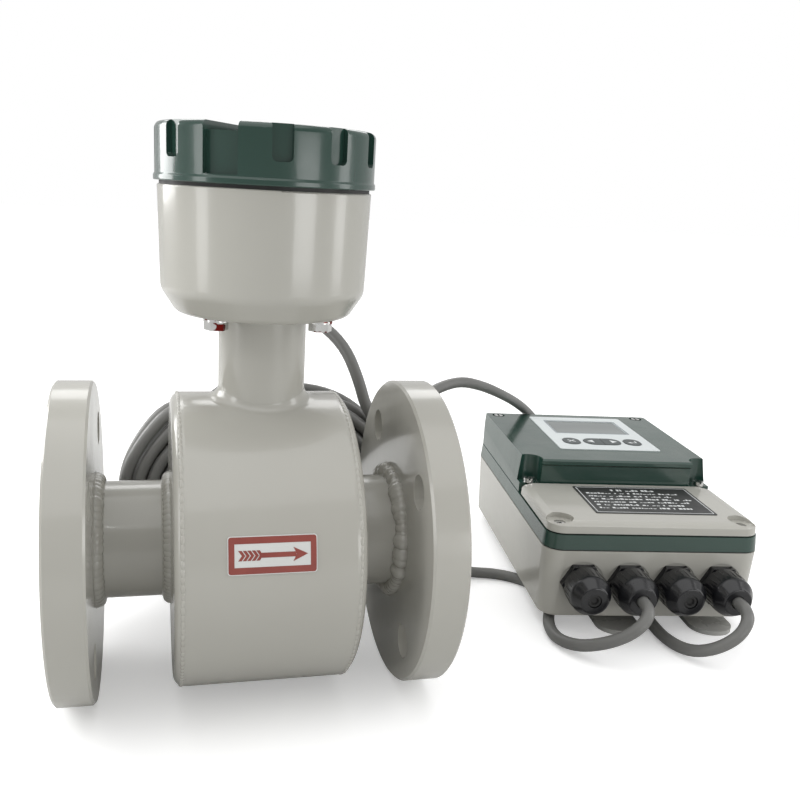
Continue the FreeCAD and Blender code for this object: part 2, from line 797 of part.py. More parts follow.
def terminal_cap():
    axis = V(neck_offset, 0, 0)
    bottom = head_rim_level + cap_gap
    top = bottom + cap_height
    side = cap_diameter / 2
    thread = head_bore_diameter / 2 - slip_fit
    inside = thread - cap_thread_wall
    body = turned_z([
        (inside, bottom - cap_gap - cap_thread_length, 0),
        (thread, bottom - cap_gap - cap_thread_length, cap_thread_edge_radius),
        (thread, bottom, 0), (cap_bead_diameter / 2, bottom, cap_bead_edge_radius),
        (cap_bead_diameter / 2, bottom + cap_bead_height, cap_bead_edge_radius),
        (side, bottom + cap_bead_height + cap_bead_blend_rise, cap_bead_blend_radius),
        (side, top, cap_edge_radius), (0, top, 0), (0, top - cap_top_thickness, 0),
        (inside, top - cap_top_thickness, cap_inner_radius)],
        neck_offset)
    slot = Part.makeBox(2 * cap_diameter, bar_slot_width, bar_slot_depth + cut_past,
                        V(-cap_diameter, -bar_slot_width / 2, top - bar_slot_depth))
    slot.rotate(ORIGIN, Z_AXIS, bar_slot_turn)
    slot.translate(axis)
    body = body.cut(slot)
    for i in range(grip_count):
        turn = grip_turn + 360.0 / grip_count * i
        at_slot = abs(math.sin(math.radians(turn - bar_slot_turn))) < touch
        width = bar_slot_width if at_slot else grip_width
        depth = bar_notch_depth if at_slot else grip_depth
        low = bottom + cap_bead_height + bar_notch_stand if at_slot else top - grip_height
        corner = bar_notch_corner if at_slot else grip_corner
        outline = [(-width / 2, low, corner), (width / 2, low, corner),
                   (width / 2, top + cut_past, 0), (-width / 2, top + cut_past, 0)]
        wire = rounded_wire(outline, lambda p, d=depth: V(side - d, p.x, p.y))
        pocket = Part.Face(wire).extrude(V(cap_diameter, 0, 0))
        pocket.rotate(ORIGIN, Z_AXIS, turn)
        pocket.translate(axis)
        body = body.cut(pocket)
    return body


def cap_seal():
    inner = head_bore_diameter / 2
    return turned_z([
        (inner, head_rim_level, 0), (inner + cap_seal_width, head_rim_level, 0),
        (inner + cap_seal_width, head_rim_level + cap_gap, 0),
        (inner, head_rim_level + cap_gap, 0)], neck_offset)


def arrow_plate():
    outer = housing_radius + arrow_plate_thickness
    ring = ring_x(outer, housing_radius, arrow_plate_offset - arrow_plate_length, 2 * arrow_plate_length)
    outline = rectangle(arrow_plate_length, arrow_plate_height, arrow_plate_corner, (arrow_plate_offset, 0.0))
    stamp = Part.Face(rounded_wire(outline, lambda p: V(p.x, 0, p.y))).extrude(V(0, -housing_diameter, 0))
    plate = ring.common(stamp)
    plate.rotate(ORIGIN, X_AXIS, -arrow_plate_turn)
    return plate


# ---------------------------------------------------------------- cable glands

def gland_body():
    """Gland body about +Z, its seat at z = 0: thread below, hexagon and collar above."""
    stem = cylinder(gland_thread_diameter / 2, gland_stem_length, V(0, 0, -gland_stem_length), Z_AXIS)
    collar = cylinder(gland_collar_diameter / 2, gland_hex_height + gland_collar_height, ORIGIN, Z_AXIS)
    body = hexagon(gland_across_flats, gland_hex_height, ORIGIN).fuse(stem).fuse(collar)
    length = gland_stem_length + gland_hex_height + gland_collar_height
    return body.cut(cylinder(gland_bore / 2, length, V(0, 0, -gland_stem_length), Z_AXIS))


def gland_nut():
    """Domed clamping nut, screwed over the collar."""
    low = gland_hex_height + gland_nut_lift
    high = low + gland_nut_length
    rim = gland_nut_diameter / 2
    mouth = cable_diameter / 2 + gland_nut_mouth_gap
    inside = gland_collar_diameter / 2 + thread_fit
    shoulder = gland_hex_height + gland_collar_height + gland_nut_end_gap
    return turned_z([
        (inside, low, 0), (rim, low, 0), (rim, high - gland_nut_dome, gland_nut_dome_radius),
        (gland_nut_mouth / 2, high, gland_nut_mouth_radius), (mouth, high, 0),
        (mouth, high - gland_nut_mouth_depth, 0), (gland_bore / 2 + gland_nut_throat, shoulder, 0),
        (inside, shoulder, 0)])


def gland_seal():
    """Rubber ring that the nut squeezes on the cable."""
    top = gland_hex_height + gland_collar_height
    hole = cable_diameter / 2 + thread_fit
    nose = top + gland_seal_nose
    return turned_z([
        (hole, top - gland_seal_length, 0), (gland_bore / 2 - slip_fit, top - gland_seal_length, 0),
        (gland_bore / 2 - slip_fit, top, 0), (hole + gland_seal_nose_wall, nose, 0), (hole, nose, 0)])


def gland_plug():
    """Blanking plug of an unused gland, seen as a dished disc in the nut's mouth."""
    top = gland_hex_height + gland_collar_height
    face = gland_hex_height + gland_nut_lift + gland_nut_length - gland_plug_sink
    floor = face - gland_plug_dish_depth
    nose = cable_diameter / 2 + gland_nut_mouth_gap - gland_plug_gap
    return turned_z([
        (0, top - gland_seal_length, 0), (gland_bore / 2 - slip_fit, top - gland_seal_length, 0),
        (gland_bore / 2 - slip_fit, top, 0), (nose, top, 0), (nose, face, gland_plug_edge_radius),
        (gland_plug_dish_diameter / 2, face, 0), (gland_plug_dish_floor / 2, floor, 0), (0, floor, 0)])


def placed(shape, placement):
    copy = shape.copy()
    copy.Placement = placement.multiply(copy.Placement)
    return copy


# ---------------------------------------------------------------- converter

base_bottom = foot_thickness + foot_gap
base_top = base_bottom + base_height
cover_bottom = base_top + case_gasket_thickness
band_top = cover_bottom + band_height
face_level = band_top + display_block_height
terminal_seat = band_top + terminal_gasket_thickness
terminal_top = terminal_seat + terminal_cover_height
case_front = -case_length / 2
case_back = case_length / 2
block_front = display_block_start - display_lip
display_middle = (display_block_start + case_back) / 2
overlay_centre = (overlay_shift[0], display_middle + overlay_shift[1])
lcd_centre = (lcd_shift[0], display_middle + lcd_shift[1])
key_row = display_middle + key_row_shift
main_board_middle = case_front + main_board_from_front + main_board_size[1] / 2
opening_width = case_width - 2 * opening_from_side
opening_front = case_front + opening_from_front

converter_placement = FreeCAD.Placement(
    V(converter_x, converter_y, floor_level), FreeCAD.Rotation(Z_AXIS, converter_turn))


def in_place(shape):
    return placed(shape, converter_placement)


def case_outline(inset):
    return rectangle(case_width - 2 * inset, case_length - 2 * inset, case_corner - inset / 2)


def in_pair(x, y):
    return [(-x, y), (x, y)]


def front_screw_places():
    return in_pair(case_width / 2 - cover_screw_from_side[0],
                   display_block_start + cover_screw_front_set_back)


def rear_screw_places():
    return in_pair(case_width / 2 - cover_screw_from_side[1], case_back - cover_screw_from_back)


def screw_places():
    return front_screw_places() + rear_screw_places()


def terminal_screw_places():
    return in_pair(case_width / 2 - terminal_screw_from_side, case_front + terminal_screw_from_front)


def gland_places():
    """As many glands as the front of the case has room for, about its middle."""
    room = case_width - 2 * converter_gland_from_side
    gaps = int(room / converter_gland_pitch + touch)
    return [converter_gland_pitch * (i - gaps / 2) for i in range(gaps + 1)]


gland_seat_y = case_front + gland_spot_depth


def converter_gland_placement(x):
    return FreeCAD.Placement(V(x, gland_seat_y, converter_gland_level),
                             FreeCAD.Rotation(Z_AXIS, V(0, -1, 0)))


def board_posts():
    x = main_board_size[0] / 2 - board_post_inset
    y = main_board_size[1] / 2 - board_post_inset
    return [(a * x, main_board_middle + b * y) for a in (-1, 1) for b in (-1, 1)]


def foot_pad_places():
    y = case_back - base_pad_from_end
    return [(x, side * y) for x in foot_places for side in (-1, 1)]


def converter_base():
    body = loft([(case_outline(case_draft), base_bottom), (case_outline(0), base_top)])
    inside = loft([(case_outline(case_draft + case_wall), base_bottom + case_wall),
                   (case_outline(case_wall), base_top)])
    body = body.cut(inside)
    level = base_bottom + case_wall
    for x, y in screw_places() + terminal_screw_places():
        body = body.fuse(cylinder(pillar_diameter / 2, base_top - level, V(x, y, level), Z_AXIS))
    for x, y in board_posts():
        body = body.fuse(cylinder(board_post_radius, main_board_level - level, V(x, y, level), Z_AXIS))
    for x, y in foot_pad_places():
        body = body.fuse(cylinder(base_pad_diameter / 2, foot_gap, V(x, y, foot_thickness), Z_AXIS))
    for x, y in screw_places() + terminal_screw_places():
        body = body.cut(cylinder(case_screw_diameter / 2 + thread_fit, base_top,
                                 V(x, y, base_top - cover_screw_length), Z_AXIS))
    for x in gland_places():
        start = V(x, case_front - gland_hole_start, converter_gland_level)
        through = gland_hole_start + gland_hole_depth
        body = body.cut(cylinder(gland_thread_diameter / 2 + thread_fit, through, start, Y_AXIS))
        body = body.cut(cylinder(gland_spot_diameter / 2, gland_hole_start + gland_spot_depth, start, Y_AXIS))
    return body.removeSplitter()


def case_gasket():
    outer = prism(case_outline(case_gasket_inset), base_top, case_gasket_thickness)
    inner = prism(case_outline(case_wall), base_top, case_gasket_thickness)
    return outer.cut(inner)


def display_block():
    """The raised rear part of the cover: flat face, lipped front, sloping side facets."""
    half = case_width / 2 - display_side_inset
    front, back = display_block_start, case_back - display_side_inset
    plan = [(-half, block_front, display_front_corner), (half, block_front, display_front_corner),
            (half, back, display_rear_corner), (-half, back, display_rear_corner)]
    low = cover_bottom + fuse_into
    column = prism(plan, low, face_level - low)
    lip_low = face_level - display_lip_height
    past = back + display_rear_past
    profile = [(front, cover_bottom, 0), (front, lip_low - display_lip, 0),
               (block_front, lip_low, display_lip_radius),
               (block_front, face_level - display_front_chamfer, 0),
               (block_front + display_front_chamfer, face_level, 0),
               (back - display_rear_chamfer, face_level, 0),
               (past, face_level - display_rear_chamfer, 0), (past, cover_bottom, 0)]
    wire = rounded_wire(profile, lambda p: V(-half - cut_past, p.x, p.y))
    block = column.common(Part.Face(wire).extrude(V(2 * (half + cut_past), 0, 0)))
    for side in (-1, 1):
        block = block.cut(side_facet(side, half, front, back))
    return block


def side_facet(side, half, front, back):
    """Wedge that takes the sloping facet off one side of the display block."""
    lean = facet_inset / facet_front_drop
    high = face_level + facet_rise
    outside = side * (half + facet_reach)
    ends = []
    for y, drop in ((front - facet_front_past, facet_front_drop), (back + facet_rear_past, facet_rear_drop)):
        low = face_level - drop
        ends.append(Part.makePolygon([
            V(side * half, y, low), V(side * (half - lean * (drop + facet_rise)), y, high),
            V(outside, y, high), V(outside, y, low), V(side * half, y, low)]))
    return Part.makeLoft(ends, True, True)


def converter_cover():
    band = loft([(case_outline(0), cover_bottom), (case_outline(band_draft), band_top)])
    block = display_block()
    body = band.fuse(block)
    inner_front = display_block_start + face_wall
    inner_back = case_back - display_side_inset - face_wall
    half = case_width / 2 - facet_inset - face_wall
    room = [(-half, inner_front, display_room_front_radius), (half, inner_front, display_room_front_radius),
            (half, inner_back, display_room_rear_radius), (-half, inner_back, display_room_rear_radius)]
    body = body.cut(prism(room, cover_bottom, face_level - face_wall - cover_bottom))
    body = body.cut(prism(wiring_opening(opening_to_block), cover_bottom, band_height + cut_past))
    whole = band.fuse(block)
    front_form = (pocket_radius, pocket_wall, pocket_depth)
    rear_form = (rear_pocket_radius, rear_pocket_wall, rear_pocket_depth)
    pockets = [(*place, *front_form) for place in front_screw_places()]
    pockets += [(*place, *rear_form) for place in rear_screw_places()]
    for x, y, radius, wall, depth in pockets:
        boss = cylinder(radius + wall, face_level - cover_bottom, V(x, y, cover_bottom), Z_AXIS)
        body = body.fuse(boss.common(whole))
    for x, y, radius, wall, depth in pockets:
        body = body.cut(cylinder(radius, depth + cut_past, V(x, y, face_level - depth), Z_AXIS))
    for x, y in screw_places() + terminal_screw_places():
        body = body.cut(cylinder(case_screw_diameter / 2 + slip_fit, face_level, V(x, y, 0), Z_AXIS))
    gap = 2 * lcd_window_gap
    window = rectangle(lcd_width + gap, lcd_length + gap, lcd_corner, lcd_centre)
    for outline in [window] + key_outlines(key_clearance):
        body = body.cut(prism(outline, face_level - face_wall - cut_past, face_wall + 2 * cut_past))
    return body.removeSplitter()


def wiring_opening(to_block):
    """Plan of the opening over the terminals, up to this distance from the display block."""
    half = opening_width / 2
    rear = block_front - to_block
    return [(-half, opening_front, opening_corner), (half, opening_front, opening_corner),
            (half, rear, opening_corner), (-half, rear, opening_corner)]


def key_outlines(grow):
    """Plan of the four keys: two ovals, and a long oval in two halves."""
    key_radius = min(key_width, key_length) / 2 + grow - key_end_flat
    radius = min(rocker_width, key_length) / 2 + grow - rocker_end_flat
    y = key_row
    ovals = [rectangle(key_width + 2 * grow, key_length + 2 * grow, key_radius, (x, y)) for x in key_places]
    left, right = rocker_place - rocker_width / 2 - grow, rocker_place + rocker_width / 2 + grow
    low, high = y - key_length / 2 - grow, y + key_length / 2 + grow
    split = rocker_split / 2 - grow
    if grow > rocker_split / 2:
        split = 0.0
    left_half = [(left, low, radius), (rocker_place - split, low, 0),
                 (rocker_place - split, high, 0), (left, high, radius)]
    right_half = [(rocker_place + split, low, 0), (right, low, radius),
                  (right, high, radius), (rocker_place + split, high, 0)]
    return [ovals[0], left_half, right_half, ovals[1]]


key_top = face_level + overlay_thickness + key_proud
key_bottom = face_level - face_wall - key_clearance - key_flange_thickness
dome_top = key_bottom - key_travel - dome_gap
display_board_top = dome_top - dome_height


def key(index):
    top = prism(key_outlines(0)[index], key_bottom, key_top - key_bottom)
    outline = key_outlines(0)[index]
    wide = [p[0] for p in outline]
    centre = (min(wide) + max(wide)) / 2
    flange_width = max(wide) - min(wide) + (0 if index in (1, 2) else 2 * key_flange)
    plan = rectangle(flange_width, key_length + 2 * key_flange, key_flange_corner, (centre, key_row))
    flange = prism(plan, key_bottom, key_flange_thickness)
    return top.fuse(flange).removeSplitter()


def key_domes():
    domes = []
    for outline in key_outlines(0):
        wide = [p[0] for p in outline]
        centre = (min(wide) + max(wide)) / 2
        dome = turned_z([(0, display_board_top, 0), (dome_radius, display_board_top, 0),
                         (dome_top_radius, dome_top, dome_edge_radius), (0, dome_top, 0)])
        domes.append(dome.translate(V(centre, key_row, 0)))
    return domes


def display_overlay():
    sheet = prism(rectangle(overlay_width, overlay_length, overlay_corner, overlay_centre),
                  face_level, overlay_thickness)
    window = rectangle(lcd_width, lcd_length, lcd_corner, lcd_centre)
    for outline in [window] + key_outlines(key_clearance):
        sheet = sheet.cut(prism(outline, face_level - cut_past, overlay_thickness + 2 * cut_past))
    return sheet


def lcd_module():
    low = display_board_top + lcd_glass_foot
    glass = prism(rectangle(lcd_width + 2 * lcd_glass_rim, lcd_length + 2 * lcd_glass_rim, lcd_glass_corner,
                            lcd_centre), low, face_level - low)
    frame = prism(rectangle(lcd_width + 2 * lcd_frame_side, lcd_length + 2 * lcd_frame_end, lcd_frame_corner,
                            lcd_centre), display_board_top,
                  face_level - face_wall - display_board_top - lcd_frame_gap)
    return glass.fuse(frame).removeSplitter()


def display_board():
    width, length = display_board_size
    return prism(rectangle(width, length, board_corner, (0, display_middle)),
                 display_board_top - board_thickness, board_thickness)


def display_posts():
    """Pillars that hang from the cover's face and carry the display board."""
    x = display_board_size[0] / 2 - display_post_inset
    y = display_board_size[1] / 2 - display_post_inset
    height = face_level - face_wall - display_board_top
    return [cylinder(display_post_radius, height, V(a * x, display_middle + b * y, display_board_top),
                     Z_AXIS) for a in (-1, 1) for b in (-1, 1)]


def cover_screw(x, y, seat):
    head = cylinder(cover_screw_head / 2, cover_screw_head_height, V(x, y, seat), Z_AXIS)
    slot_length = cover_screw_head + cut_past
    slot = Part.makeBox(screw_slot, slot_length, screw_slot, V(
        x - screw_slot / 2, y - slot_length / 2, seat + cover_screw_head_height - screw_slot))
    shank_low = base_top - cover_screw_length
    shank = cylinder(case_screw_diameter / 2, seat - shank_low, V(x, y, shank_low), Z_AXIS)
    return head.cut(slot).fuse(shank)


def cover_screws():
    front = [cover_screw(x, y, face_level - pocket_depth) for x, y in front_screw_places()]
    rear = [cover_screw(x, y, face_level - rear_pocket_depth) for x, y in rear_screw_places()]
    return front + rear


def terminal_outline(inset, rear_inset=0.0):
    left = -case_width / 2 + terminal_cover_inset + inset
    front = case_front + terminal_cover_inset + inset
    rear = block_front - terminal_cover_to_block - rear_inset
    radius = case_corner - terminal_cover_inset - inset / 2
    return [(left, front, radius), (-left, front, radius), (-left, rear, terminal_cover_rear_corner),
            (left, rear, terminal_cover_rear_corner)]


def terminal_gasket():
    outline = terminal_outline(terminal_gasket_inset, terminal_gasket_rear_inset)
    ring = prism(outline, band_top, terminal_gasket_thickness)
    low = band_top - cut_past
    through = terminal_gasket_thickness + 2 * cut_past
    ring = ring.cut(prism(wiring_opening(terminal_gasket_to_block), low, through))
    for x, y in terminal_screw_places():
        ring = ring.cut(cylinder(case_screw_diameter / 2 + slip_fit, through, V(x, y, low), Z_AXIS))
    return ring


def terminal_cover():
    shoulder = terminal_seat + terminal_cover_edge
    body = loft([(terminal_outline(0), terminal_seat),
                 (terminal_outline(terminal_cover_edge_inset), shoulder),
                 (terminal_outline(terminal_cover_bevel_inset), shoulder + terminal_cover_bevel_rise),
                 (terminal_outline(terminal_cover_top_inset), terminal_top)])
    room = rectangle(opening_width - 2 * terminal_room_side, terminal_room_length, opening_corner,
                     (0, opening_front + terminal_room_start + terminal_room_length / 2))
    low = terminal_seat - cut_past
    body = body.cut(prism(room, low, terminal_top - terminal_cover_top_wall - low))
    floor = terminal_seat + terminal_scoop_floor
    for x, y in terminal_screw_places():
        for radius, level in ((terminal_scoop_radius, floor),
                              (terminal_screw_head / 2 + terminal_screw_gap, floor - terminal_screw_sink),
                              (case_screw_diameter / 2 + slip_fit, low)):
            body = body.cut(cylinder(radius, terminal_top + cut_past - level, V(x, y, level), Z_AXIS))
    return body


def terminal_cover_screws():
    screws = []
    for x, y in terminal_screw_places():
        seat = terminal_seat + terminal_scoop_floor - terminal_screw_sink
        head = cylinder(terminal_screw_head / 2, terminal_screw_head_height, V(x, y, seat), Z_AXIS)
        recess = hexagon(terminal_screw_recess, terminal_screw_head_height,
                         V(x, y, seat + terminal_screw_recess_floor))
        shank_low = base_top - cover_screw_length
        shank = cylinder(case_screw_diameter / 2, seat - shank_low, V(x, y, shank_low), Z_AXIS)
        screws.append(head.cut(recess).fuse(shank))
    return screws


def name_plate():
    plan = rectangle(name_plate_width, name_plate_length, name_plate_corner, name_plate_centre)
    return prism(plan, terminal_top, name_plate_thickness)


def main_board():
    width, length = main_board_size
    plan = rectangle(width, length, board_corner, (0, main_board_middle))
    return prism(plan, main_board_level, board_thickness)


def power_module():
    level = main_board_level + board_thickness
    place = (power_module_from_side - main_board_size[0] / 2,
             main_board_middle + main_board_size[1] / 2 - power_module_from_rear)
    forms = []
    for size, corner in ((power_module_size, power_module_corner), (power_core_size, power_core_corner)):
        forms.append(prism(rectangle(size[0], size[1], corner, place), level, size[2]))
    return forms[0].fuse(forms[1]).removeSplitter()


def converter_terminal_blocks():
    length, width, height = terminal_block_size
    level = main_board_level + board_thickness
    row = main_board_middle - main_board_size[1] / 2 + terminal_block_from_edge
    reach = (length + terminal_block_gap) / 2
    blocks = []
    for x in (-reach, reach):
        block = terminal_strip(length, width, height, terminal_block_ways)
        block.rotate(ORIGIN, Z_AXIS, 180)
        block.translate(V(x, row, level))
        blocks.append(block)
    return blocks


def foot(x):
    """Steel mounting strip under the case, with a rounded lug at each end."""
    half, radius = foot_width / 2, foot_width / 2 - foot_end_flat / 2
    front = case_front + case_draft - foot_front_overhang
    rear = case_back - case_draft + foot_rear_overhang
    outline = [(x - half, front, radius), (x + half, front, radius), (x + half, rear, radius),
               (x - half, rear, radius)]
    strip = prism(outline, 0, foot_thickness)
    return strip.cut(cylinder(foot_hole / 2, foot_thickness, V(x, rear - foot_hole_edge, 0), Z_AXIS))


def locknut():
    nut = hexagon(gland_across_flats, locknut_thickness, ORIGIN)
    return nut.cut(cylinder(gland_thread_diameter / 2 + thread_fit, locknut_thickness, ORIGIN, Z_AXIS))


# ---------------------------------------------------------------- cables

def cord_path(name, route):
    """Straight runs joined by tangent arcs, each as large as its two runs allow."""
    points = [V(*p) for p in route]
    edges = []
    length = 0.0
    radii = []
    start = points[0]
    for before, here, after in zip(points, points[1:], points[2:]):
        back = (before - here).normalize()
        ahead = (after - here).normalize()
        half = back.getAngle(ahead) / 2
        reach = run_share * min(here.distanceToPoint(before), here.distanceToPoint(after))
        radius = reach * math.tan(half)
        radii.append(radius)
        first = here + back * reach
        last = here + ahead * reach
        middle = here + (back + ahead).normalize() * (radius / math.sin(half) - radius)
        edges.append(Part.LineSegment(start, first).toShape())
        edges.append(Part.Arc(first, middle, last).toShape())
        length += start.distanceToPoint(first) + radius * (math.pi - 2 * half)
        start = last
    edges.append(Part.LineSegment(start, points[-1]).toShape())
    length += start.distanceToPoint(points[-1])
    print(name, "length %.0f, bend radii" % length, " ".join("%.0f" % r for r in radii))
    return Part.Wire(edges), length


def cord(name, route):
    path, length = cord_path(name, route)
    along = (V(*route[1]) - V(*route[0])).normalize()
    ring = Part.Wire(Part.makeCircle(cable_diameter / 2, V(*route[0]), along))
    tube = path.makePipeShell([ring], True, True, 1)
    section = math.pi * cable_diameter ** 2 / 4
    print(name, "volume over section times length: %.4f" % (tube.Volume / (section * length)))
    return tube


def ellipse_disc(half_width, half_height, front):
    centre = V(coil_centre_x, front, floor_level + coil_half_height)
    edge = Part.Ellipse(centre + V(half_width, 0, 0), centre + V(0, 0, half_height), centre).toShape()
    return Part.Face(Part.Wire(edge)).extrude(V(0, coil_thickness, 0))


def spare_coil(front):
    """Outer shape of the coiled cable: an oval ring with rounded edges."""
    outer = ellipse_disc(coil_half_width, coil_half_height, front)
    inner = ellipse_disc(coil_half_width - coil_depth, coil_half_height - coil_depth, front)
    ring = outer.cut(inner)
    rims = [e for e in ring.Edges if e.BoundBox.YLength < coil_thickness / 2]
    return ring.makeChamfer(coil_edge, rims)


# ---------------------------------------------------------------- build

def build_sensor():
    save("measuring_tube", measuring_tube())
    save("liner", liner())
    save("inlet_flange", flange(-1))
    save("outlet_flange", flange(1))
    save("housing_shell", housing_shell())
    save("inlet_end_plate", end_plate(-1))
    save("outlet_end_plate", end_plate(1))
    save("return_yoke", return_yoke())
    save("upper_pole_piece", pole_piece(1))
    save("lower_pole_piece", pole_piece(-1))
    save("upper_field_coil", field_coil(1))
    save("lower_field_coil", field_coil(-1))
    save("front_electrode", electrode(-1))
    save("rear_electrode", electrode(1))
    save("electrode_sleeves", electrode_sleeve(-1), electrode_sleeve(1))
    save("electrode_nuts", electrode_nut(-1), electrode_nut(1))
    save("neck_tube", neck_tube())
    save("neck_plate", neck_plate())
    save("neck_gasket", neck_gasket())
    save("terminal_housing", terminal_housing())
    save("head_bolts", *[head_bolt(x, y) for x, y in bolt_places()])
    save("head_terminal_board", head_board())
    save("head_board_posts", *head_posts())
    save("head_terminal_strip", head_strip())
    save("cap_seal", cap_seal())
    save("terminal_cap", terminal_cap())
    save("flow_arrow_plate", arrow_plate())
    frames = [head_gland_frame(turn) for turn in head_gland_turns]
    save("head_gland_bodies", *[placed(gland_body(), f) for f in frames])
    save("head_gland_nuts", *[placed(gland_nut(), f) for f in frames])
    save("head_gland_seals", *[placed(gland_seal(), f) for f in frames])


def build_converter():
    save("converter_base", in_place(converter_base()))
    save("case_gasket", in_place(case_gasket()))
    save("converter_cover", in_place(converter_cover()))
    save("terminal_gasket", in_place(terminal_gasket()))
    save("terminal_cover", in_place(terminal_cover()))
    save("name_plate", in_place(name_plate()))
    save("cover_screws", *[in_place(s) for s in cover_screws()])
    save("terminal_cover_screws", *[in_place(s) for s in terminal_cover_screws()])
    save("display_overlay", in_place(display_overlay()))
    save("lcd_module", in_place(lcd_module()))
    board = display_board()
    for piece in display_posts() + key_domes():
        board = board.fuse(piece)
    save("display_board", in_place(board))
    for index, name in enumerate(("escape_key", "down_key", "up_key", "enter_key")):
        save(name, in_place(key(index)))
    save("main_board", in_place(main_board()))
    save("power_module", in_place(power_module()))
    save("converter_terminal_blocks", *[in_place(b) for b in converter_terminal_blocks()])
    save("left_foot", in_place(foot(foot_places[0])))
    save("right_foot", in_place(foot(foot_places[1])))
    frames = [converter_placement.multiply(converter_gland_placement(x)) for x in gland_places()]
    save("converter_gland_bodies", *[placed(gland_body(), f) for f in frames])
    save("converter_gland_nuts", *[placed(gland_nut(), f) for f in frames])
    inserts = [gland_plug(), gland_seal(), gland_plug(), gland_seal()]
    save("converter_gland_seals", *[placed(s, f) for s, f in zip(inserts, frames)])
    behind_wall = V(0, 0, -case_wall - locknut_stand_off - locknut_thickness)
    inside = FreeCAD.Placement(behind_wall, FreeCAD.Rotation())
    save("converter_locknuts", *[placed(locknut(), f.multiply(inside)) for f in frames])


def build_cables():
    save("cable_a_head_lead", cord("cable_a_head_lead", cable_a_head_route))
    save("cable_b_head_lead", cord("cable_b_head_lead", cable_b_head_route))
    save("cable_a_coil", spare_coil(coil_front))
    save("cable_b_coil", spare_coil(coil_front + coil_thickness))
    save("cable_a_floor_lead", cord("cable_a_floor_lead", cable_a_floor_route))
    save("cable_b_floor_lead", cord("cable_b_floor_lead", cable_b_floor_route))


os.makedirs("parts", exist_ok=True)
build_sensor()
build_converter()
build_cables()
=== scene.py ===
import bmesh
import bpy
import json
import math
import random
from mathutils import Matrix, Vector


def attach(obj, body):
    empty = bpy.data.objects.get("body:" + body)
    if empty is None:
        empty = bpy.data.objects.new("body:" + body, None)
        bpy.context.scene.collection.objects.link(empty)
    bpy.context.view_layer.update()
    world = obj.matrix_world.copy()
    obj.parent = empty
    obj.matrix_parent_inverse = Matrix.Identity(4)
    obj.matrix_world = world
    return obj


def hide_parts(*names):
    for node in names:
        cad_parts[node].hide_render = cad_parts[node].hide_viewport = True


# Electromagnetic flow meter on a table: the flanged sensor, its converter, and the two screened
# cables that join them, in the same frame as the CAD. Lengths are in millimetres and go through
# MM, apart from the studio's, which are in metres.

MM = 0.001

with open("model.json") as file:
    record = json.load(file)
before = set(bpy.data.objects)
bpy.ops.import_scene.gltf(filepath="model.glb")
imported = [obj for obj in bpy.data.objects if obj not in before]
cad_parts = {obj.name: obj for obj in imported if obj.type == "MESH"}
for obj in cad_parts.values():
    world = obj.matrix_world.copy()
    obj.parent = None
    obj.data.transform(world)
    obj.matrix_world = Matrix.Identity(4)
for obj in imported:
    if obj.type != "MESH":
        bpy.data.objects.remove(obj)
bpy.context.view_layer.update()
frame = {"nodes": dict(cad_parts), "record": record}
nodes = frame["nodes"]
slot_of = {row["node"]: row["material_slot"] for row in frame["record"]["subparts"]}

METER = "flow_meter"
FLOOR_LEVEL = -82.5
FLANGE_BACK = 81.0            # inner face of each flange, from the middle of the bore
HOUSING_RADIUS = 76.7
HOUSING_INLET_END, HOUSING_OUTLET_END = -41.0, 49.0
PIPE_RADIUS = 30.15
CABLE_DIAMETER = 7.5


def into_scene(thing):
    bpy.context.scene.collection.objects.link(thing)
    return thing


# ------------------------------------------------------------ shared surface effects

def add_node(tree, kind, inputs=None, **settings):
    """Adds a node. inputs are its sockets by name or number, fed by an output or a plain value."""
    node = tree.nodes.new(kind)
    for label, value in settings.items():
        setattr(node, label, value)
    for label, value in (inputs or {}).items():
        if isinstance(value, bpy.types.NodeSocket):
            tree.links.new(value, node.inputs[label])
        else:
            node.inputs[label].default_value = value
    return node


def shader_group(name, takes, gives):
    """Empty shader group with named sockets: its tree, what it is given, and its end node."""
    tree = bpy.data.node_groups.new(name, "ShaderNodeTree")
    for label, kind in takes:
        tree.interface.new_socket(name=label, in_out="INPUT", socket_type=kind)
    for label, kind in gives:
        tree.interface.new_socket(name=label, in_out="OUTPUT", socket_type=kind)
    return tree, tree.nodes.new("NodeGroupInput").outputs, tree.nodes.new("NodeGroupOutput")


def noise_in(tree, vector, scale, detail=3.0):
    noise = add_node(tree, "ShaderNodeTexNoise",
                     {"Vector": vector, "Scale": scale, "Detail": detail})
    return noise.outputs["Fac"]


def spread_out(tree, value, low, high, least=0.0, most=1.0):
    """Stretches the values from low to high over the range from least to most."""
    stretch = add_node(tree, "ShaderNodeMapRange",
                       {"Value": value, "From Min": low, "From Max": high,
                        "To Min": least, "To Max": most})
    return stretch.outputs["Result"]


def combined(tree, operation, first, second):
    return add_node(tree, "ShaderNodeMath", {0: first, 1: second}, operation=operation).outputs[0]


def colour_mix(tree, share, first, second):
    mix = add_node(tree, "ShaderNodeMix", {0: share, 6: first, 7: second}, data_type="RGBA")
    return mix.outputs[2]


def make_tone_drift():
    """Slow drift of the colour over a surface, from one tone to another."""
    tree, given, end = shader_group(
        "tone_drift",
        [("Vector", "NodeSocketVector"), ("Tone", "NodeSocketColor"),
         ("Other Tone", "NodeSocketColor"), ("Scale", "NodeSocketFloat"),
         ("Amount", "NodeSocketFloat")],
        [("Colour", "NodeSocketColor")])
    cloud = spread_out(tree, noise_in(tree, given["Vector"], given["Scale"]), low=0.34, high=0.66)
    share = combined(tree, "MULTIPLY", cloud, given["Amount"])
    colour = colour_mix(tree, share, given["Tone"], given["Other Tone"])
    tree.links.new(colour, end.inputs["Colour"])
    return tree


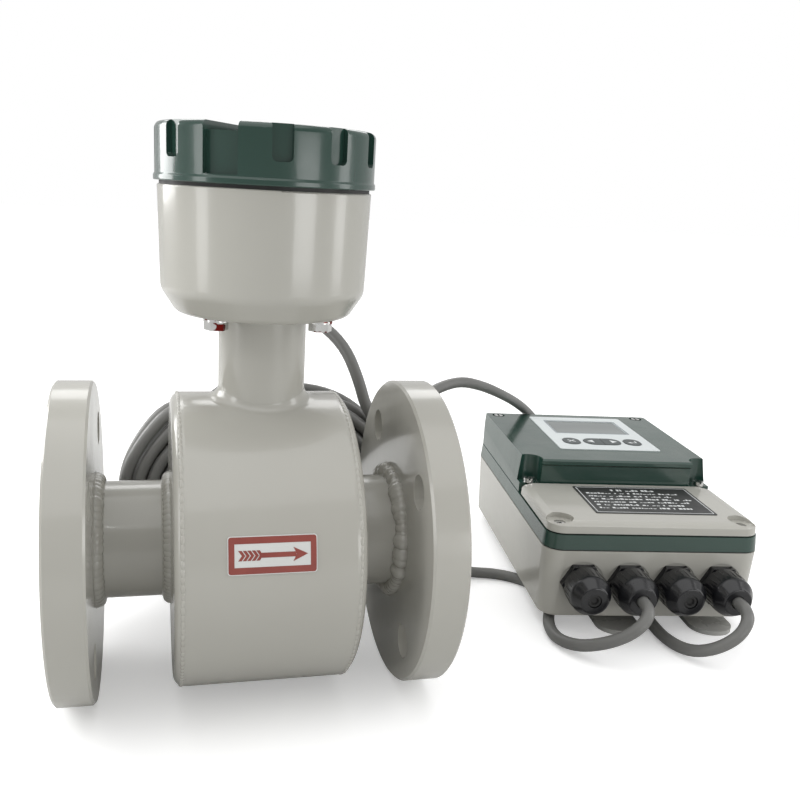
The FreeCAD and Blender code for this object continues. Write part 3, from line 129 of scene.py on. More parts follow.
def make_gloss_patches():
    """Roughness that wanders between a smoother and a duller value."""
    tree, given, end = shader_group(
        "gloss_patches",
        [("Vector", "NodeSocketVector"), ("Scale", "NodeSocketFloat"),
         ("Smoothest", "NodeSocketFloat"), ("Dullest", "NodeSocketFloat")],
        [("Roughness", "NodeSocketFloat")])
    cloud = noise_in(tree, given["Vector"], given["Scale"], detail=4.0)
    rough = spread_out(tree, cloud, 0.3, 0.7, given["Smoothest"], given["Dullest"])
    tree.links.new(rough, end.inputs["Roughness"])
    return tree


def make_skin_relief():
    """Height of a sprayed, moulded or drawn skin: slow waves with a fine grain on them."""
    tree, given, end = shader_group(
        "skin_relief",
        [("Vector", "NodeSocketVector"), ("Wave Scale", "NodeSocketFloat"),
         ("Wave Height", "NodeSocketFloat"), ("Grain Scale", "NodeSocketFloat"),
         ("Grain Height", "NodeSocketFloat")],
        [("Height", "NodeSocketFloat")])
    waves = noise_in(tree, given["Vector"], given["Wave Scale"], detail=1.0)
    wave = combined(tree, "MULTIPLY", waves, given["Wave Height"])
    grains = noise_in(tree, given["Vector"], given["Grain Scale"])
    grain = combined(tree, "MULTIPLY", grains, given["Grain Height"])
    tree.links.new(combined(tree, "ADD", wave, grain), end.inputs["Height"])
    return tree


def make_settled_dust():
    """Mask of the thin dust that settles on faces that look up."""
    tree, given, end = shader_group(
        "settled_dust",
        [("Vector", "NodeSocketVector"), ("Scale", "NodeSocketFloat"),
         ("Amount", "NodeSocketFloat")],
        [("Dust", "NodeSocketFloat")])
    facing = add_node(tree, "ShaderNodeNewGeometry").outputs["Normal"]
    level = add_node(tree, "ShaderNodeSeparateXYZ", {0: facing}).outputs["Z"]
    upward = spread_out(tree, level, low=0.55, high=1.0)
    specks = noise_in(tree, given["Vector"], given["Scale"], detail=6.0)
    cloud = spread_out(tree, specks, low=0.42, high=0.7)
    dust = combined(tree, "MULTIPLY", combined(tree, "MULTIPLY", upward, cloud), given["Amount"])
    tree.links.new(dust, end.inputs["Dust"])
    return tree


TONE_DRIFT = make_tone_drift()
GLOSS_PATCHES = make_gloss_patches()
SKIN_RELIEF = make_skin_relief()
SETTLED_DUST = make_settled_dust()
DUST_COLOUR = (0.42, 0.41, 0.37, 1.0)
DUST_SCALE = 45.0
COAT_ROUGHNESS = 0.08


def effect(tree, group, vector, **values):
    """Places a shared effect in a material; values are its inputs, with _ for a space."""
    inputs = {label.replace("_", " "): value for label, value in values.items()}
    inputs["Vector"] = vector
    return add_node(tree, "ShaderNodeGroup", inputs, node_tree=group).outputs[0]


def finish(name, tone, other, drift, gloss, relief, metal=0.0, coat=0.0, dust=0.0, marks=None):
    """Material of one finish. drift is scale and amount, gloss is scale, smoothest and dullest,
    relief is wave scale, wave height, grain scale, grain height, heights in millimetres."""
    material = bpy.data.materials.new(name)
    material.use_nodes = True
    tree = material.node_tree
    skin = tree.nodes["Principled BSDF"]
    place = add_node(tree, "ShaderNodeTexCoord").outputs["Object"]
    colour = effect(tree, TONE_DRIFT, place, Tone=(*tone, 1.0), Other_Tone=(*other, 1.0),
                    Scale=drift[0], Amount=drift[1])
    if marks:
        colour = marks(tree, place, colour)
    if dust:
        settled = effect(tree, SETTLED_DUST, place, Scale=DUST_SCALE, Amount=dust)
        colour = colour_mix(tree, settled, colour, DUST_COLOUR)
    tree.links.new(colour, skin.inputs["Base Color"])
    rough = effect(tree, GLOSS_PATCHES, place, Scale=gloss[0], Smoothest=gloss[1], Dullest=gloss[2])
    tree.links.new(rough, skin.inputs["Roughness"])
    height = effect(tree, SKIN_RELIEF, place, Wave_Scale=relief[0], Wave_Height=relief[1],
                    Grain_Scale=relief[2], Grain_Height=relief[3])
    bump = add_node(tree, "ShaderNodeBump", {"Distance": MM, "Strength": 1.0, "Height": height})
    tree.links.new(bump.outputs["Normal"], skin.inputs["Normal"])
    skin.inputs["Metallic"].default_value = metal
    skin.inputs["Coat Weight"].default_value = coat
    skin.inputs["Coat Roughness"].default_value = COAT_ROUGHNESS
    return material


def red_witness_marks(tree, place, colour):
    """Dabs of dark red locking paint on a bolt head."""
    locking_red = (0.16, 0.012, 0.01, 1.0)
    dab = spread_out(tree, noise_in(tree, place, scale=190.0, detail=1.0), low=0.555, high=0.58)
    return colour_mix(tree, dab, colour, locking_red)


def wavy_bands(tree, place, direction, scale, distortion):
    bands = add_node(tree, "ShaderNodeTexWave",
                     {"Vector": place, "Scale": scale, "Distortion": distortion},
                     bands_direction=direction)
    return bands.outputs["Fac"]


def shaded_copper_turns(tree, place, colour):
    """Dark lines of painted shade in the grooves between the wire turns of a winding."""
    # painted shade: the dark colour of the grooves between the turns
    turn_groove_shade = (0.10, 0.035, 0.015, 1.0)
    bands = wavy_bands(tree, place, "Z", scale=320.0, distortion=0.6)
    return colour_mix(tree, bands, turn_groove_shade, colour)


def glass_reflection_band(tree, place, colour):
    """Faint lighter band low on the glass: a painted reflection."""
    # painted reflection: the tone of the lighter band on the glass
    lighter = (0.21, 0.23, 0.226, 1.0)
    bands = wavy_bands(tree, place, "Y", scale=7.0, distortion=1.0)
    return colour_mix(tree, bands, colour, lighter)


PAINT = finish("sprayed_cream_paint", (0.43, 0.423, 0.384), (0.395, 0.383, 0.345), (9.0, 0.55),
               (14.0, 0.17, 0.26), (70.0, 0.16, 420.0, 0.006), coat=0.35, dust=0.12)
CAP_GREEN = finish("sprayed_dark_green", (0.014, 0.045, 0.033), (0.021, 0.058, 0.045), (12.0, 0.6),
                   (18.0, 0.16, 0.27), (85.0, 0.15, 420.0, 0.006), coat=0.4, dust=0.06)
WELD_PAINT = finish("painted_weld", (0.43, 0.423, 0.384), (0.385, 0.37, 0.33), (120.0, 0.6),
                    (60.0, 0.16, 0.28), (350.0, 0.10, 900.0, 0.01), coat=0.4)
LINER = finish("fluoropolymer_liner", (0.72, 0.72, 0.70), (0.64, 0.64, 0.61), (30.0, 0.5),
               (40.0, 0.38, 0.5), (120.0, 0.02, 900.0, 0.004))
IRON = finish("bare_soft_iron", (0.20, 0.20, 0.205), (0.13, 0.11, 0.10), (50.0, 0.6),
              (60.0, 0.38, 0.55), (200.0, 0.03, 900.0, 0.02), metal=1.0)
COPPER = finish("enamelled_copper", (0.45, 0.17, 0.07), (0.36, 0.12, 0.05), (70.0, 0.5),
                (60.0, 0.28, 0.4), (200.0, 0.03, 900.0, 0.01), metal=0.8, marks=shaded_copper_turns)
STEEL = finish("plated_steel", (0.66, 0.66, 0.65), (0.52, 0.52, 0.51), (140.0, 0.5),
               (120.0, 0.14, 0.30), (300.0, 0.02, 1500.0, 0.01), metal=1.0)
BOLT_STEEL = finish("plated_bolt_heads", (0.70, 0.70, 0.69), (0.55, 0.55, 0.54), (140.0, 0.5),
                    (120.0, 0.10, 0.22), (300.0, 0.02, 1500.0, 0.006), metal=1.0,
                    marks=red_witness_marks)
RUBBER = finish("black_seal_rubber", (0.014, 0.014, 0.014), (0.022, 0.022, 0.021), (90.0, 0.6),
                (80.0, 0.5, 0.7), (200.0, 0.02, 1200.0, 0.02))
BOARD = finish("green_circuit_board", (0.012, 0.09, 0.035), (0.010, 0.07, 0.03), (60.0, 0.6),
               (80.0, 0.25, 0.4), (300.0, 0.01, 1200.0, 0.01), coat=0.3)
TERMINAL_GREY = finish("grey_terminal_plastic", (0.26, 0.28, 0.27), (0.22, 0.24, 0.23), (60.0, 0.5),
                       (80.0, 0.3, 0.42), (300.0, 0.01, 1200.0, 0.012))
LABEL = finish("pale_label_film", (0.66, 0.67, 0.655), (0.60, 0.605, 0.585), (40.0, 0.5),
               (50.0, 0.28, 0.4), (250.0, 0.012, 1200.0, 0.004))
OVERLAY = finish("pale_front_film", (0.62, 0.66, 0.66), (0.58, 0.62, 0.62), (25.0, 0.5),
                 (50.0, 0.30, 0.42), (250.0, 0.01, 1500.0, 0.006))
GLAND_BLACK = finish("black_nylon", (0.0065, 0.0068, 0.0082), (0.011, 0.011, 0.0125), (70.0, 0.6),
                     (60.0, 0.16, 0.30), (180.0, 0.05, 1100.0, 0.012), coat=0.15)
PLATE_DARK = finish("dark_name_plate", (0.016, 0.017, 0.016), (0.024, 0.025, 0.024), (60.0, 0.6),
                    (90.0, 0.36, 0.48), (300.0, 0.008, 1500.0, 0.006))
GLASS = finish("grey_display_glass", (0.17, 0.187, 0.183), (0.15, 0.166, 0.162), (20.0, 0.6),
               (40.0, 0.10, 0.18), (60.0, 0.01, 900.0, 0.0), marks=glass_reflection_band)
KEY = finish("dark_key_rubber", (0.05, 0.062, 0.062), (0.062, 0.075, 0.075), (90.0, 0.6),
             (90.0, 0.38, 0.52), (250.0, 0.02, 1500.0, 0.012))
MODULE = finish("black_module_case", (0.02, 0.02, 0.022), (0.03, 0.03, 0.032), (60.0, 0.6),
                (90.0, 0.35, 0.5), (300.0, 0.02, 1400.0, 0.02))
FOOT = finish("painted_strip_steel", (0.42, 0.42, 0.40), (0.36, 0.355, 0.335), (60.0, 0.6),
              (60.0, 0.22, 0.36), (150.0, 0.04, 900.0, 0.012), coat=0.2, dust=0.15)
SHEATH = finish("grey_cable_sheath", (0.165, 0.165, 0.157), (0.128, 0.128, 0.123), (22.0, 0.7),
                (40.0, 0.34, 0.48), (160.0, 0.05, 900.0, 0.015), dust=0.1)
ARROW_RED = finish("printed_dark_red", (0.27, 0.062, 0.048), (0.215, 0.045, 0.037), (90.0, 0.6),
                   (60.0, 0.3, 0.42), (300.0, 0.008, 1500.0, 0.004))
PRINT_WHITE = finish("printed_white", (0.72, 0.74, 0.74), (0.62, 0.64, 0.64), (90.0, 0.5),
                     (60.0, 0.35, 0.45), (300.0, 0.004, 1500.0, 0.004))
PRINT_GREY = finish("printed_blue_grey", (0.22, 0.25, 0.27), (0.27, 0.30, 0.32), (90.0, 0.5),
                    (60.0, 0.35, 0.45), (300.0, 0.004, 1500.0, 0.004))

FINISH_OF_SLOT = {
    "cream_paint": PAINT, "green_paint": CAP_GREEN, "liner": LINER, "soft_iron": IRON,
    "winding": COPPER, "stainless": STEEL, "seal_rubber": RUBBER, "circuit_board": BOARD,
    "terminal_plastic": TERMINAL_GREY, "label_film": LABEL, "gland_plastic": GLAND_BLACK,
    "dark_plate": PLATE_DARK, "display_glass": GLASS, "key_rubber": KEY, "module_plastic": MODULE,
    "foot_steel": FOOT, "cable_sheath": SHEATH}
FINISH_OF_NODE = {"head_bolts": BOLT_STEEL, "display_overlay": OVERLAY}


def dress_nodes():
    """Gives every CAD node the finish of its material slot, or its own."""
    for name, slot in slot_of.items():
        mesh = nodes[name].data
        mesh.materials.clear()
        mesh.materials.append(FINISH_OF_NODE.get(name, FINISH_OF_SLOT[slot]))


# ------------------------------------------------------------ pieces made from meshes

MERGE_DISTANCE = 0.01         # vertices nearer than this are one
FLAT_ANGLE = 0.6              # degrees, under which two faces are one
SHARP_ANGLE = 38.0            # degrees, over which an edge is rounded
EDGE_SEGMENTS = 2


def mesh_from(work, name):
    """Turns a bmesh into a mesh and frees it."""
    mesh = bpy.data.meshes.new(name)
    work.to_mesh(mesh)
    work.free()
    return mesh


def piece(name, mesh, material, slot, body=METER, smooth=False):
    mesh.materials.clear()
    mesh.materials.append(material)
    for face in mesh.polygons:
        face.use_smooth = smooth
    thing = into_scene(bpy.data.objects.new(name, mesh))
    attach(thing, body)
    return thing


def softened(node, name, width, body=METER):
    """A copy of a CAD node with its sharp edges rounded as paint or a mould rounds them."""
    work = bmesh.new()
    work.from_mesh(nodes[node].data)
    bmesh.ops.remove_doubles(work, verts=work.verts, dist=MERGE_DISTANCE * MM)
    bmesh.ops.dissolve_limit(work, angle_limit=math.radians(FLAT_ANGLE), verts=work.verts,
                             edges=work.edges)
    mesh = mesh_from(work, name)
    slot = slot_of[node]
    thing = piece(name, mesh, FINISH_OF_SLOT[slot], slot, body, smooth=True)
    edges = thing.modifiers.new("rounded_edges", "BEVEL")
    edges.width = width * MM
    edges.segments = EDGE_SEGMENTS
    edges.limit_method = "ANGLE"
    edges.angle_limit = math.radians(SHARP_ANGLE)
    edges.use_clamp_overlap = True
    flats = thing.modifiers.new("flat_faces_stay_flat", "WEIGHTED_NORMAL")
    flats.keep_sharp = True
    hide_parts(node)


def bead_ring_tree():
    """Ring of overlapping lumps of weld metal, or of any small rounded body."""
    tree = bpy.data.node_groups.new("bead_ring", "GeometryNodeTree")
    for label, kind in (("Ring Radius", "NodeSocketFloat"), ("Count", "NodeSocketInt"),
                        ("Bead Size", "NodeSocketVector"), ("Unevenness", "NodeSocketFloat"),
                        ("Seed", "NodeSocketInt"), ("Finish", "NodeSocketMaterial")):
        tree.interface.new_socket(name=label, in_out="INPUT", socket_type=kind)
    tree.interface.new_socket(name="Geometry", in_out="OUTPUT", socket_type="NodeSocketGeometry")
    given = tree.nodes.new("NodeGroupInput").outputs
    end = tree.nodes.new("NodeGroupOutput")
    ring = add_node(tree, "GeometryNodeCurvePrimitiveCircle",
                    {"Resolution": given["Count"], "Radius": given["Ring Radius"]})
    lump = add_node(tree, "GeometryNodeMeshIcoSphere", {"Radius": 1.0, "Subdivisions": 2})
    tangent = add_node(tree, "GeometryNodeInputTangent")
    turn = add_node(tree, "FunctionNodeAlignEulerToVector", {"Vector": tangent.outputs[0]},
                    axis="X", pivot_axis="Z")
    chance = add_node(tree, "FunctionNodeRandomValue",
                      {2: combined(tree, "SUBTRACT", 1.0, given["Unevenness"]),
                       3: combined(tree, "ADD", 1.0, given["Unevenness"]), "Seed": given["Seed"]},
                      data_type="FLOAT")
    size = add_node(tree, "ShaderNodeVectorMath",
                    {0: given["Bead Size"], "Scale": chance.outputs[1]}, operation="SCALE")
    spread = add_node(tree, "GeometryNodeInstanceOnPoints",
                      {"Points": ring.outputs["Curve"], "Instance": lump.outputs["Mesh"],
                       "Rotation": turn.outputs[0], "Scale": size.outputs[0]})
    real = add_node(tree, "GeometryNodeRealizeInstances", {0: spread.outputs[0]})
    coat = add_node(tree, "GeometryNodeSetMaterial",
                    {"Geometry": real.outputs[0], "Material": given["Finish"]})
    tree.links.new(coat.outputs[0], end.inputs[0])
    return tree


BEAD_RING = bead_ring_tree()


def ring_mesh(name, radius, count, size, unevenness, seed, material):
    """Plain mesh of a ring about Z from the bead tree."""
    empty = bpy.data.meshes.new(name + "_maker")
    carrier = into_scene(bpy.data.objects.new(name + "_maker", empty))
    maker = carrier.modifiers.new("beads", "NODES")
    maker.node_group = BEAD_RING
    values = {"Ring Radius": radius * MM, "Count": count, "Bead Size": [s * MM for s in size],
              "Unevenness": unevenness, "Seed": seed, "Finish": material}
    for item in BEAD_RING.interface.items_tree:
        if item.in_out == "INPUT":
            maker[item.identifier] = values[item.name]
    bpy.context.view_layer.update()
    made = carrier.evaluated_get(bpy.context.evaluated_depsgraph_get())
    mesh = bpy.data.meshes.new_from_object(made)
    carrier.modifiers.remove(maker)
    bpy.data.objects.remove(carrier)
    mesh.name = name
    return mesh


def ring_on_pipe(name, x, radius, count, size, unevenness, seed):
    """A weld ring round the flow axis; size is (along the seam, out from the axis, along X)."""
    mesh = ring_mesh(name, radius, count, size, unevenness, seed, WELD_PAINT)
    mesh.transform(Matrix.Translation((x * MM, 0, 0)) @ Matrix.Rotation(math.radians(90), 4, "Y"))
    piece(name, mesh, WELD_PAINT, "cream_paint", smooth=True)


def weld_rings():
    """Rippled beads at the flanges, where the pipe meets the housing, and round its two rims."""
    outlet_stand, inlet_stand = 3.6, 3.2      # from each flange's inner face
    heavy_radius = PIPE_RADIUS + 1.2
    light_radius = PIPE_RADIUS + 0.8
    ring_on_pipe("outlet_flange_weld", FLANGE_BACK - outlet_stand, heavy_radius, count=58,
                 size=(4.6, 5.0, 4.6), unevenness=0.24, seed=3)
    ring_on_pipe("inlet_flange_weld", inlet_stand - FLANGE_BACK, light_radius, count=52,
                 size=(5.4, 4.0, 4.2), unevenness=0.07, seed=5)
    housing_stand, housing_bead = 0.6, (4.4, 3.7, 3.9)
    ring_on_pipe("outlet_housing_weld", HOUSING_OUTLET_END + housing_stand, light_radius, count=70,
                 size=housing_bead, unevenness=0.05, seed=8)
    ring_on_pipe("inlet_housing_weld", HOUSING_INLET_END - housing_stand, light_radius, count=70,
                 size=housing_bead, unevenness=0.05, seed=13)
    rim_in, rim_radius, rim_bead = 3.8, HOUSING_RADIUS - 0.62, (2.6, 0.8, 1.1)
    ring_on_pipe("inlet_rim_seam", HOUSING_INLET_END + rim_in, rim_radius, count=130,
                 size=rim_bead, unevenness=0.12, seed=21)
    ring_on_pipe("outlet_rim_seam", HOUSING_OUTLET_END - rim_in, rim_radius, count=130,
                 size=rim_bead, unevenness=0.12, seed=34)


# ------------------------------------------------------------ prints

PRINT_FOOT, PRINT_TOP = 0.02, 0.09    # a print's two faces, above the surface that carries it
CORNER_STEPS = 5
SIDE_PARTS = 12
SAME_POINT = 1e-6


def stamp(work, corners, place, low, high):
    """Thin closed prism over a convex outline; place(u, v, height) puts it on its surface."""
    under = [work.verts.new(place(u, v, low)) for u, v in corners]
    over = [work.verts.new(place(u, v, high)) for u, v in corners]
    work.faces.new(over)
    work.faces.new(list(reversed(under)))
    count = len(corners)
    for i in range(count):
        j = (i + 1) % count
        work.faces.new((under[i], under[j], over[j], over[i]))


def printed(name, outlines, place, material, slot, body=METER):
    work = bmesh.new()
    for corners in outlines:
        stamp(work, corners, place, PRINT_FOOT, PRINT_TOP)
    bmesh.ops.recalc_face_normals(work, faces=work.faces)
    piece(name, mesh_from(work, name), material, slot, body)


def rounded_rectangle(width, height, radius):
    """Points round a rectangle with round corners, about the origin."""
    w, h = width / 2 - radius, height / 2 - radius
    points = []
    for cx, cy, start in ((w, -h, -90), (w, h, 0), (-w, h, 90), (-w, -h, 180)):
        for i in range(CORNER_STEPS + 1):
            angle = math.radians(start + 90 * i / CORNER_STEPS)
            points.append((cx + radius * math.cos(angle), cy + radius * math.sin(angle)))
    full = []
    for i, here in enumerate(points):
        ahead = points[(i + 1) % len(points)]
        parts = SIDE_PARTS if math.dist(here, ahead) > radius else 1
        for k in range(parts):
            full.append((here[0] + (ahead[0] - here[0]) * k / parts,
                         here[1] + (ahead[1] - here[1]) * k / parts))
    return full


def frame_band(width, height, side, end, radius, centre=(0.0, 0.0)):
    """Band round a rectangle: side is its thickness at left and right, end at top and bottom."""
    rim = rounded_rectangle(width, height, radius)
    w, h = width / 2 - side, height / 2 - end
    inside = [(max(-w, min(w, x)), max(-h, min(h, y))) for x, y in rim]
    cx, cy = centre
    outer, inner = ([(x + cx, y + cy) for x, y in points] for points in (rim, inside))
    count = len(outer)
    quads = [(outer[i], outer[(i + 1) % count], inner[(i + 1) % count], inner[i])
             for i in range(count)]
    whole = [quad for quad in quads if math.dist(quad[2], quad[3]) > SAME_POINT]
    corners = [quad[:3] for quad in quads if math.dist(quad[2], quad[3]) <= SAME_POINT]
    return whole + corners


def bar(u0, v0, u1, v1):
    return [(u0, v0), (u1, v0), (u1, v1), (u0, v1)]


def flow_arrow():
    """Feathered arrow along the flow: shaft, head and feathers on both sides."""
    shaft_start, shaft_end, shaft_half, shaft_parts = -6.2, 10.8, 1.15, 5
    head_tail, head_tip, head_half, head_notch = 9.4, 16.2, 3.3, 1.6
    feathers, first_feather, feather_pitch = 5, -15.8, 2.05
    feather_half, feather_width, feather_lean = 2.35, 1.55, 1.65
    cuts = [shaft_start + (shaft_end - shaft_start) * k / shaft_parts
            for k in range(shaft_parts + 1)]
    outlines = [bar(back, -shaft_half, front, shaft_half) for back, front in zip(cuts, cuts[1:])]
    notch = head_tail + head_notch
    outlines.append([(head_tail, head_half), (notch, 0.0), (head_tip, 0.0)])
    outlines.append([(head_tail, -head_half), (head_tip, 0.0), (notch, 0.0)])
    for k in range(feathers):
        back = first_feather + feather_pitch * k
        for side in (1, -1):
            outlines.append([(back, side * feather_half),
                             (back + feather_width, side * feather_half),
                             (back + feather_width + feather_lean, 0.0),
                             (back + feather_lean, 0.0)])
    return outlines


def arrow_plate_print():
    """Red border and arrow on the plate in front of the housing."""
    plate_thickness, plate_centre, plate_turn = 0.4, 3.1, math.radians(14.8)
    surface = HOUSING_RADIUS + plate_thickness

    def place(u, v, height):
        angle = plate_turn + v / surface
        out = surface + height
        return Vector((plate_centre + u, -out * math.cos(angle), out * math.sin(angle))) * MM

    border = frame_band(width=40.4, height=17.0, side=2.7, end=3.1, radius=1.2)
    printed("arrow_plate_print", border + flow_arrow(), place, ARROW_RED, "label_film")


CONVERTER_TURN = math.radians(-8.25)
CONVERTER_PLACE = (270.1, 114.9)
PLATE_TOP, FILM_TOP, KEY_TOP = 72.7, 90.0, 90.4       # above the converter's feet
PLATE_CENTRE = (7.0, -58.6)
WINDOW_CENTRE = (4.5, 61.0)
KEY_ROW = 20.0


def on_converter(level):
    """Puts (across, along) of the converter at a level above its feet."""
    c, s = math.cos(CONVERTER_TURN), math.sin(CONVERTER_TURN)
    x, y = CONVERTER_PLACE

    def place(u, v, height):
        return Vector(((x + c * u - s * v) * MM, (y + s * u + c * v) * MM,
                       (level + height + FLOOR_LEVEL) * MM))

    return place


def name_plate_rules():
    """Border and rows of plain dashes on the name plate."""
    rows, first_row, row_pitch = 7, 16.5, 5.6
    title_start, title_end, title_height = -16.0, 14.0, 3.2
    row_start, row_ends, row_height = -35.0, (24, 35), 2.2
    dash_lengths, dash_heights, gaps = (0.9, 2.6), (0.35, 0.7, 1.0), (0.5, 0.6, 0.7, 2.6)
    lines = frame_band(width=78.0, height=48.5, side=0.5, end=0.5, radius=1.0,
                       centre=PLATE_CENTRE)
    rng = random.Random(11)
    for k in range(rows):
        v = PLATE_CENTRE[1] + first_row - row_pitch * k
        if k == 0:
            u, end, height = title_start, title_end, title_height
        else:
            u, end, height = row_start, rng.uniform(*row_ends), row_height
        while u < end:
            wide = rng.uniform(*dash_lengths)
            start = PLATE_CENTRE[0] + u
            lines.append(bar(start, v, start + wide, v + height * rng.choice(dash_heights)))
            u += wide + rng.choice(gaps)
    return lines


def converter_prints():
    printed("name_plate_rules", name_plate_rules(), on_converter(PLATE_TOP), PRINT_WHITE,
            "dark_plate")
    window = frame_band(width=58.6, height=37.6, side=1.1, end=1.1, radius=1.6,
                        centre=WINDOW_CENTRE)
    printed("film_window_line", window, on_converter(FILM_TOP), PRINT_GREY, "label_film")
    v = KEY_ROW
    left = [[(-7.6, v), (-2.8, v + 3.4), (-2.8, v - 3.4)]]
    right = [[(15.6, v), (10.8, v - 3.4), (10.8, v + 3.4)]]
    cross = [[(-22.4, v - 1.9), (-21.7, v - 2.6), (-16.6, v + 1.9), (-17.3, v + 2.6)],
             [(-22.4, v + 1.9), (-17.3, v - 2.6), (-16.6, v - 1.9), (-21.7, v + 2.6)]]
    entry = [bar(29.5, v - 1.4, 30.3, v + 2.6), bar(25.6, v - 2.2, 30.3, v - 1.4),
             [(23.4, v - 1.8), (26.2, v - 3.6), (26.2, v)]]
    for name, shapes, body in (("left_key_mark", left, "down_button"),
                               ("right_key_mark", right, "up_button"),
                               ("escape_key_mark", cross, "escape_button"),
                               ("enter_key_mark", entry, "enter_button")):
        printed(name, shapes, on_converter(KEY_TOP), PRINT_WHITE, "key_rubber", body)


# ------------------------------------------------------------ cable glands

HEAD_GLAND_CENTRE = (5.0, 0.0, 150.0)
HEAD_GLAND_TURNS = (110.0, 70.0)      # degrees from +X round the head
HEAD_GLAND_SEAT = 55.0                # from the head's axis
CASE_GLAND_LEVEL = 33.0               # above the converter's feet
CASE_GLAND_PLACES = (-45.0, -15.0, 15.0, 45.0)
CASE_GLAND_SEAT = -103.1


def gland_frames():
    """Matrix of every gland, its Z outwards from its seat."""
    found = []
    for turn in HEAD_GLAND_TURNS:
        out = Vector((math.cos(math.radians(turn)), math.sin(math.radians(turn)), 0))
        found.append(((Vector(HEAD_GLAND_CENTRE) + out * HEAD_GLAND_SEAT) * MM, out))
    place = on_converter(CASE_GLAND_LEVEL)
    out = (place(0, -1, 0) - place(0, 0, 0)).normalized()
    found += [(place(u, CASE_GLAND_SEAT, 0), out) for u in CASE_GLAND_PLACES]
    upright = Vector((0, 0, 1))
    return [Matrix.Translation(seat) @ upright.rotation_difference(out).to_matrix().to_4x4()
            for seat, out in found]


def gland_nut_ribs():
    """Low finger ribs along every clamping nut."""
    rib_middle = 12.6                 # from the gland's seat
    ribs = ring_mesh("nut_ribs_pattern", radius=12.55, count=24, size=(0.62, 0.62, 6.6),
                     unevenness=0.0, seed=1, material=GLAND_BLACK)
    ribs.transform(Matrix.Translation((0, 0, rib_middle * MM)))
    work = bmesh.new()
    for matrix in gland_frames():
        one = ribs.copy()
        one.transform(matrix)
        work.from_mesh(one)
        bpy.data.meshes.remove(one)
    bpy.data.meshes.remove(ribs)
    mesh = mesh_from(work, "gland_nut_ribs")
    piece("gland_nut_ribs", mesh, GLAND_BLACK, "gland_plastic", smooth=True)


# ------------------------------------------------------------ cables

COIL_CENTRE = (22.0, -10.0)           # x and z
COIL_HALF = (95.0, 72.5)              # half the coil's outer size along x and z
TURN_PITCH = 8.4                      # from one turn to the next, inwards
OUTER_DEPTH = 4.2                     # of the outermost turn, from the coil's outer size
STACK_TURNS = 4
POINTS_PER_TURN = 18
STEP_FROM, STEP_LENGTH = 0.8, 0.2     # shares of a turn: where it moves over to the next slot
LOOSENESS = 0.35
COIL_SAGS = (                         # height inwards, direction in degrees, sharpness
    (3.0, 106, 30), (-6.0, 126, 40), (-1.0, 150, 8), (-4.5, 62, 8))


def bulge(angle, middle, sharpness):
    """Smooth hump of height 1 about one direction round the coil; middle is in degrees."""
    return max(0.0, math.cos(angle - math.radians(middle))) ** sharpness


def between(now, then, share):
    return now * (1 - share) + then * share


def coil_points(start, sweep, columns, seed):
    """Loose oval turns. start and sweep are in degrees, anticlockwise seen from the front.
    columns are the (y, depth) of the two stacks of turns, one wound inwards and one back out."""
    rng = random.Random(seed)
    first, second = columns
    slots = [(*first, k) for k in range(STACK_TURNS)]
    slots += [(*second, k) for k in reversed(range(STACK_TURNS))]
    wobble = [(rng.uniform(0.2, 0.9), rng.uniform(0, 6.28), rng.uniform(-0.35, 0.35))
              for _ in slots]
    count = int(abs(sweep) / 360 * POINTS_PER_TURN)
    points = []
    for i in range(count + 1):
        turned = abs(sweep) * i / count / 360
        slot = min(int(turned), len(slots) - 1)
        ahead = min(slot + 1, len(slots) - 1)
        share = max(0.0, (turned - slot) - STEP_FROM) / STEP_LENGTH
        share = share * share * (3 - 2 * share)
        y, stagger, layer = [between(now, then, share)
                             for now, then in zip(slots[slot], slots[ahead])]
        angle = math.radians(start + math.copysign(turned * 360, sweep))
        sag = sum(height * bulge(angle, middle, sharpness)
                  for height, middle, sharpness in COIL_SAGS)
        waver = [size * math.sin(2 * angle + phase)
                 for size, phase, lean in (wobble[slot], wobble[ahead])]
        loose = between(*waver, share)
        depth = OUTER_DEPTH + sag + stagger + TURN_PITCH * layer + LOOSENESS * loose
        tilt = between(wobble[slot][2], wobble[ahead][2], share) * math.cos(angle)
        points.append((COIL_CENTRE[0] + (COIL_HALF[0] - depth) * math.cos(angle), y + tilt,
                       COIL_CENTRE[1] + (COIL_HALF[1] - depth) * math.sin(angle)))
    return points


def cable(name, route, replaced):
    """One cable from the head's gland through its coil to the converter's gland."""
    curve = bpy.data.curves.new(name, "CURVE")
    curve.dimensions = "3D"
    line = curve.splines.new("NURBS")
    line.points.add(len(route) - 1)
    for point, place in zip(line.points, route):
        point.co = (place[0] * MM, place[1] * MM, place[2] * MM, 1.0)
    line.order_u = 3
    line.use_endpoint_u = True
    curve.resolution_u = 5
    curve.bevel_depth = CABLE_DIAMETER / 2 * MM
    curve.bevel_resolution = 4
    curve.use_fill_caps = True
    curve.materials.append(SHEATH)
    thing = into_scene(bpy.data.objects.new(name, curve))
    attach(thing, METER)
    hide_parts(*replaced)
    [v * MM for v in route[0]]


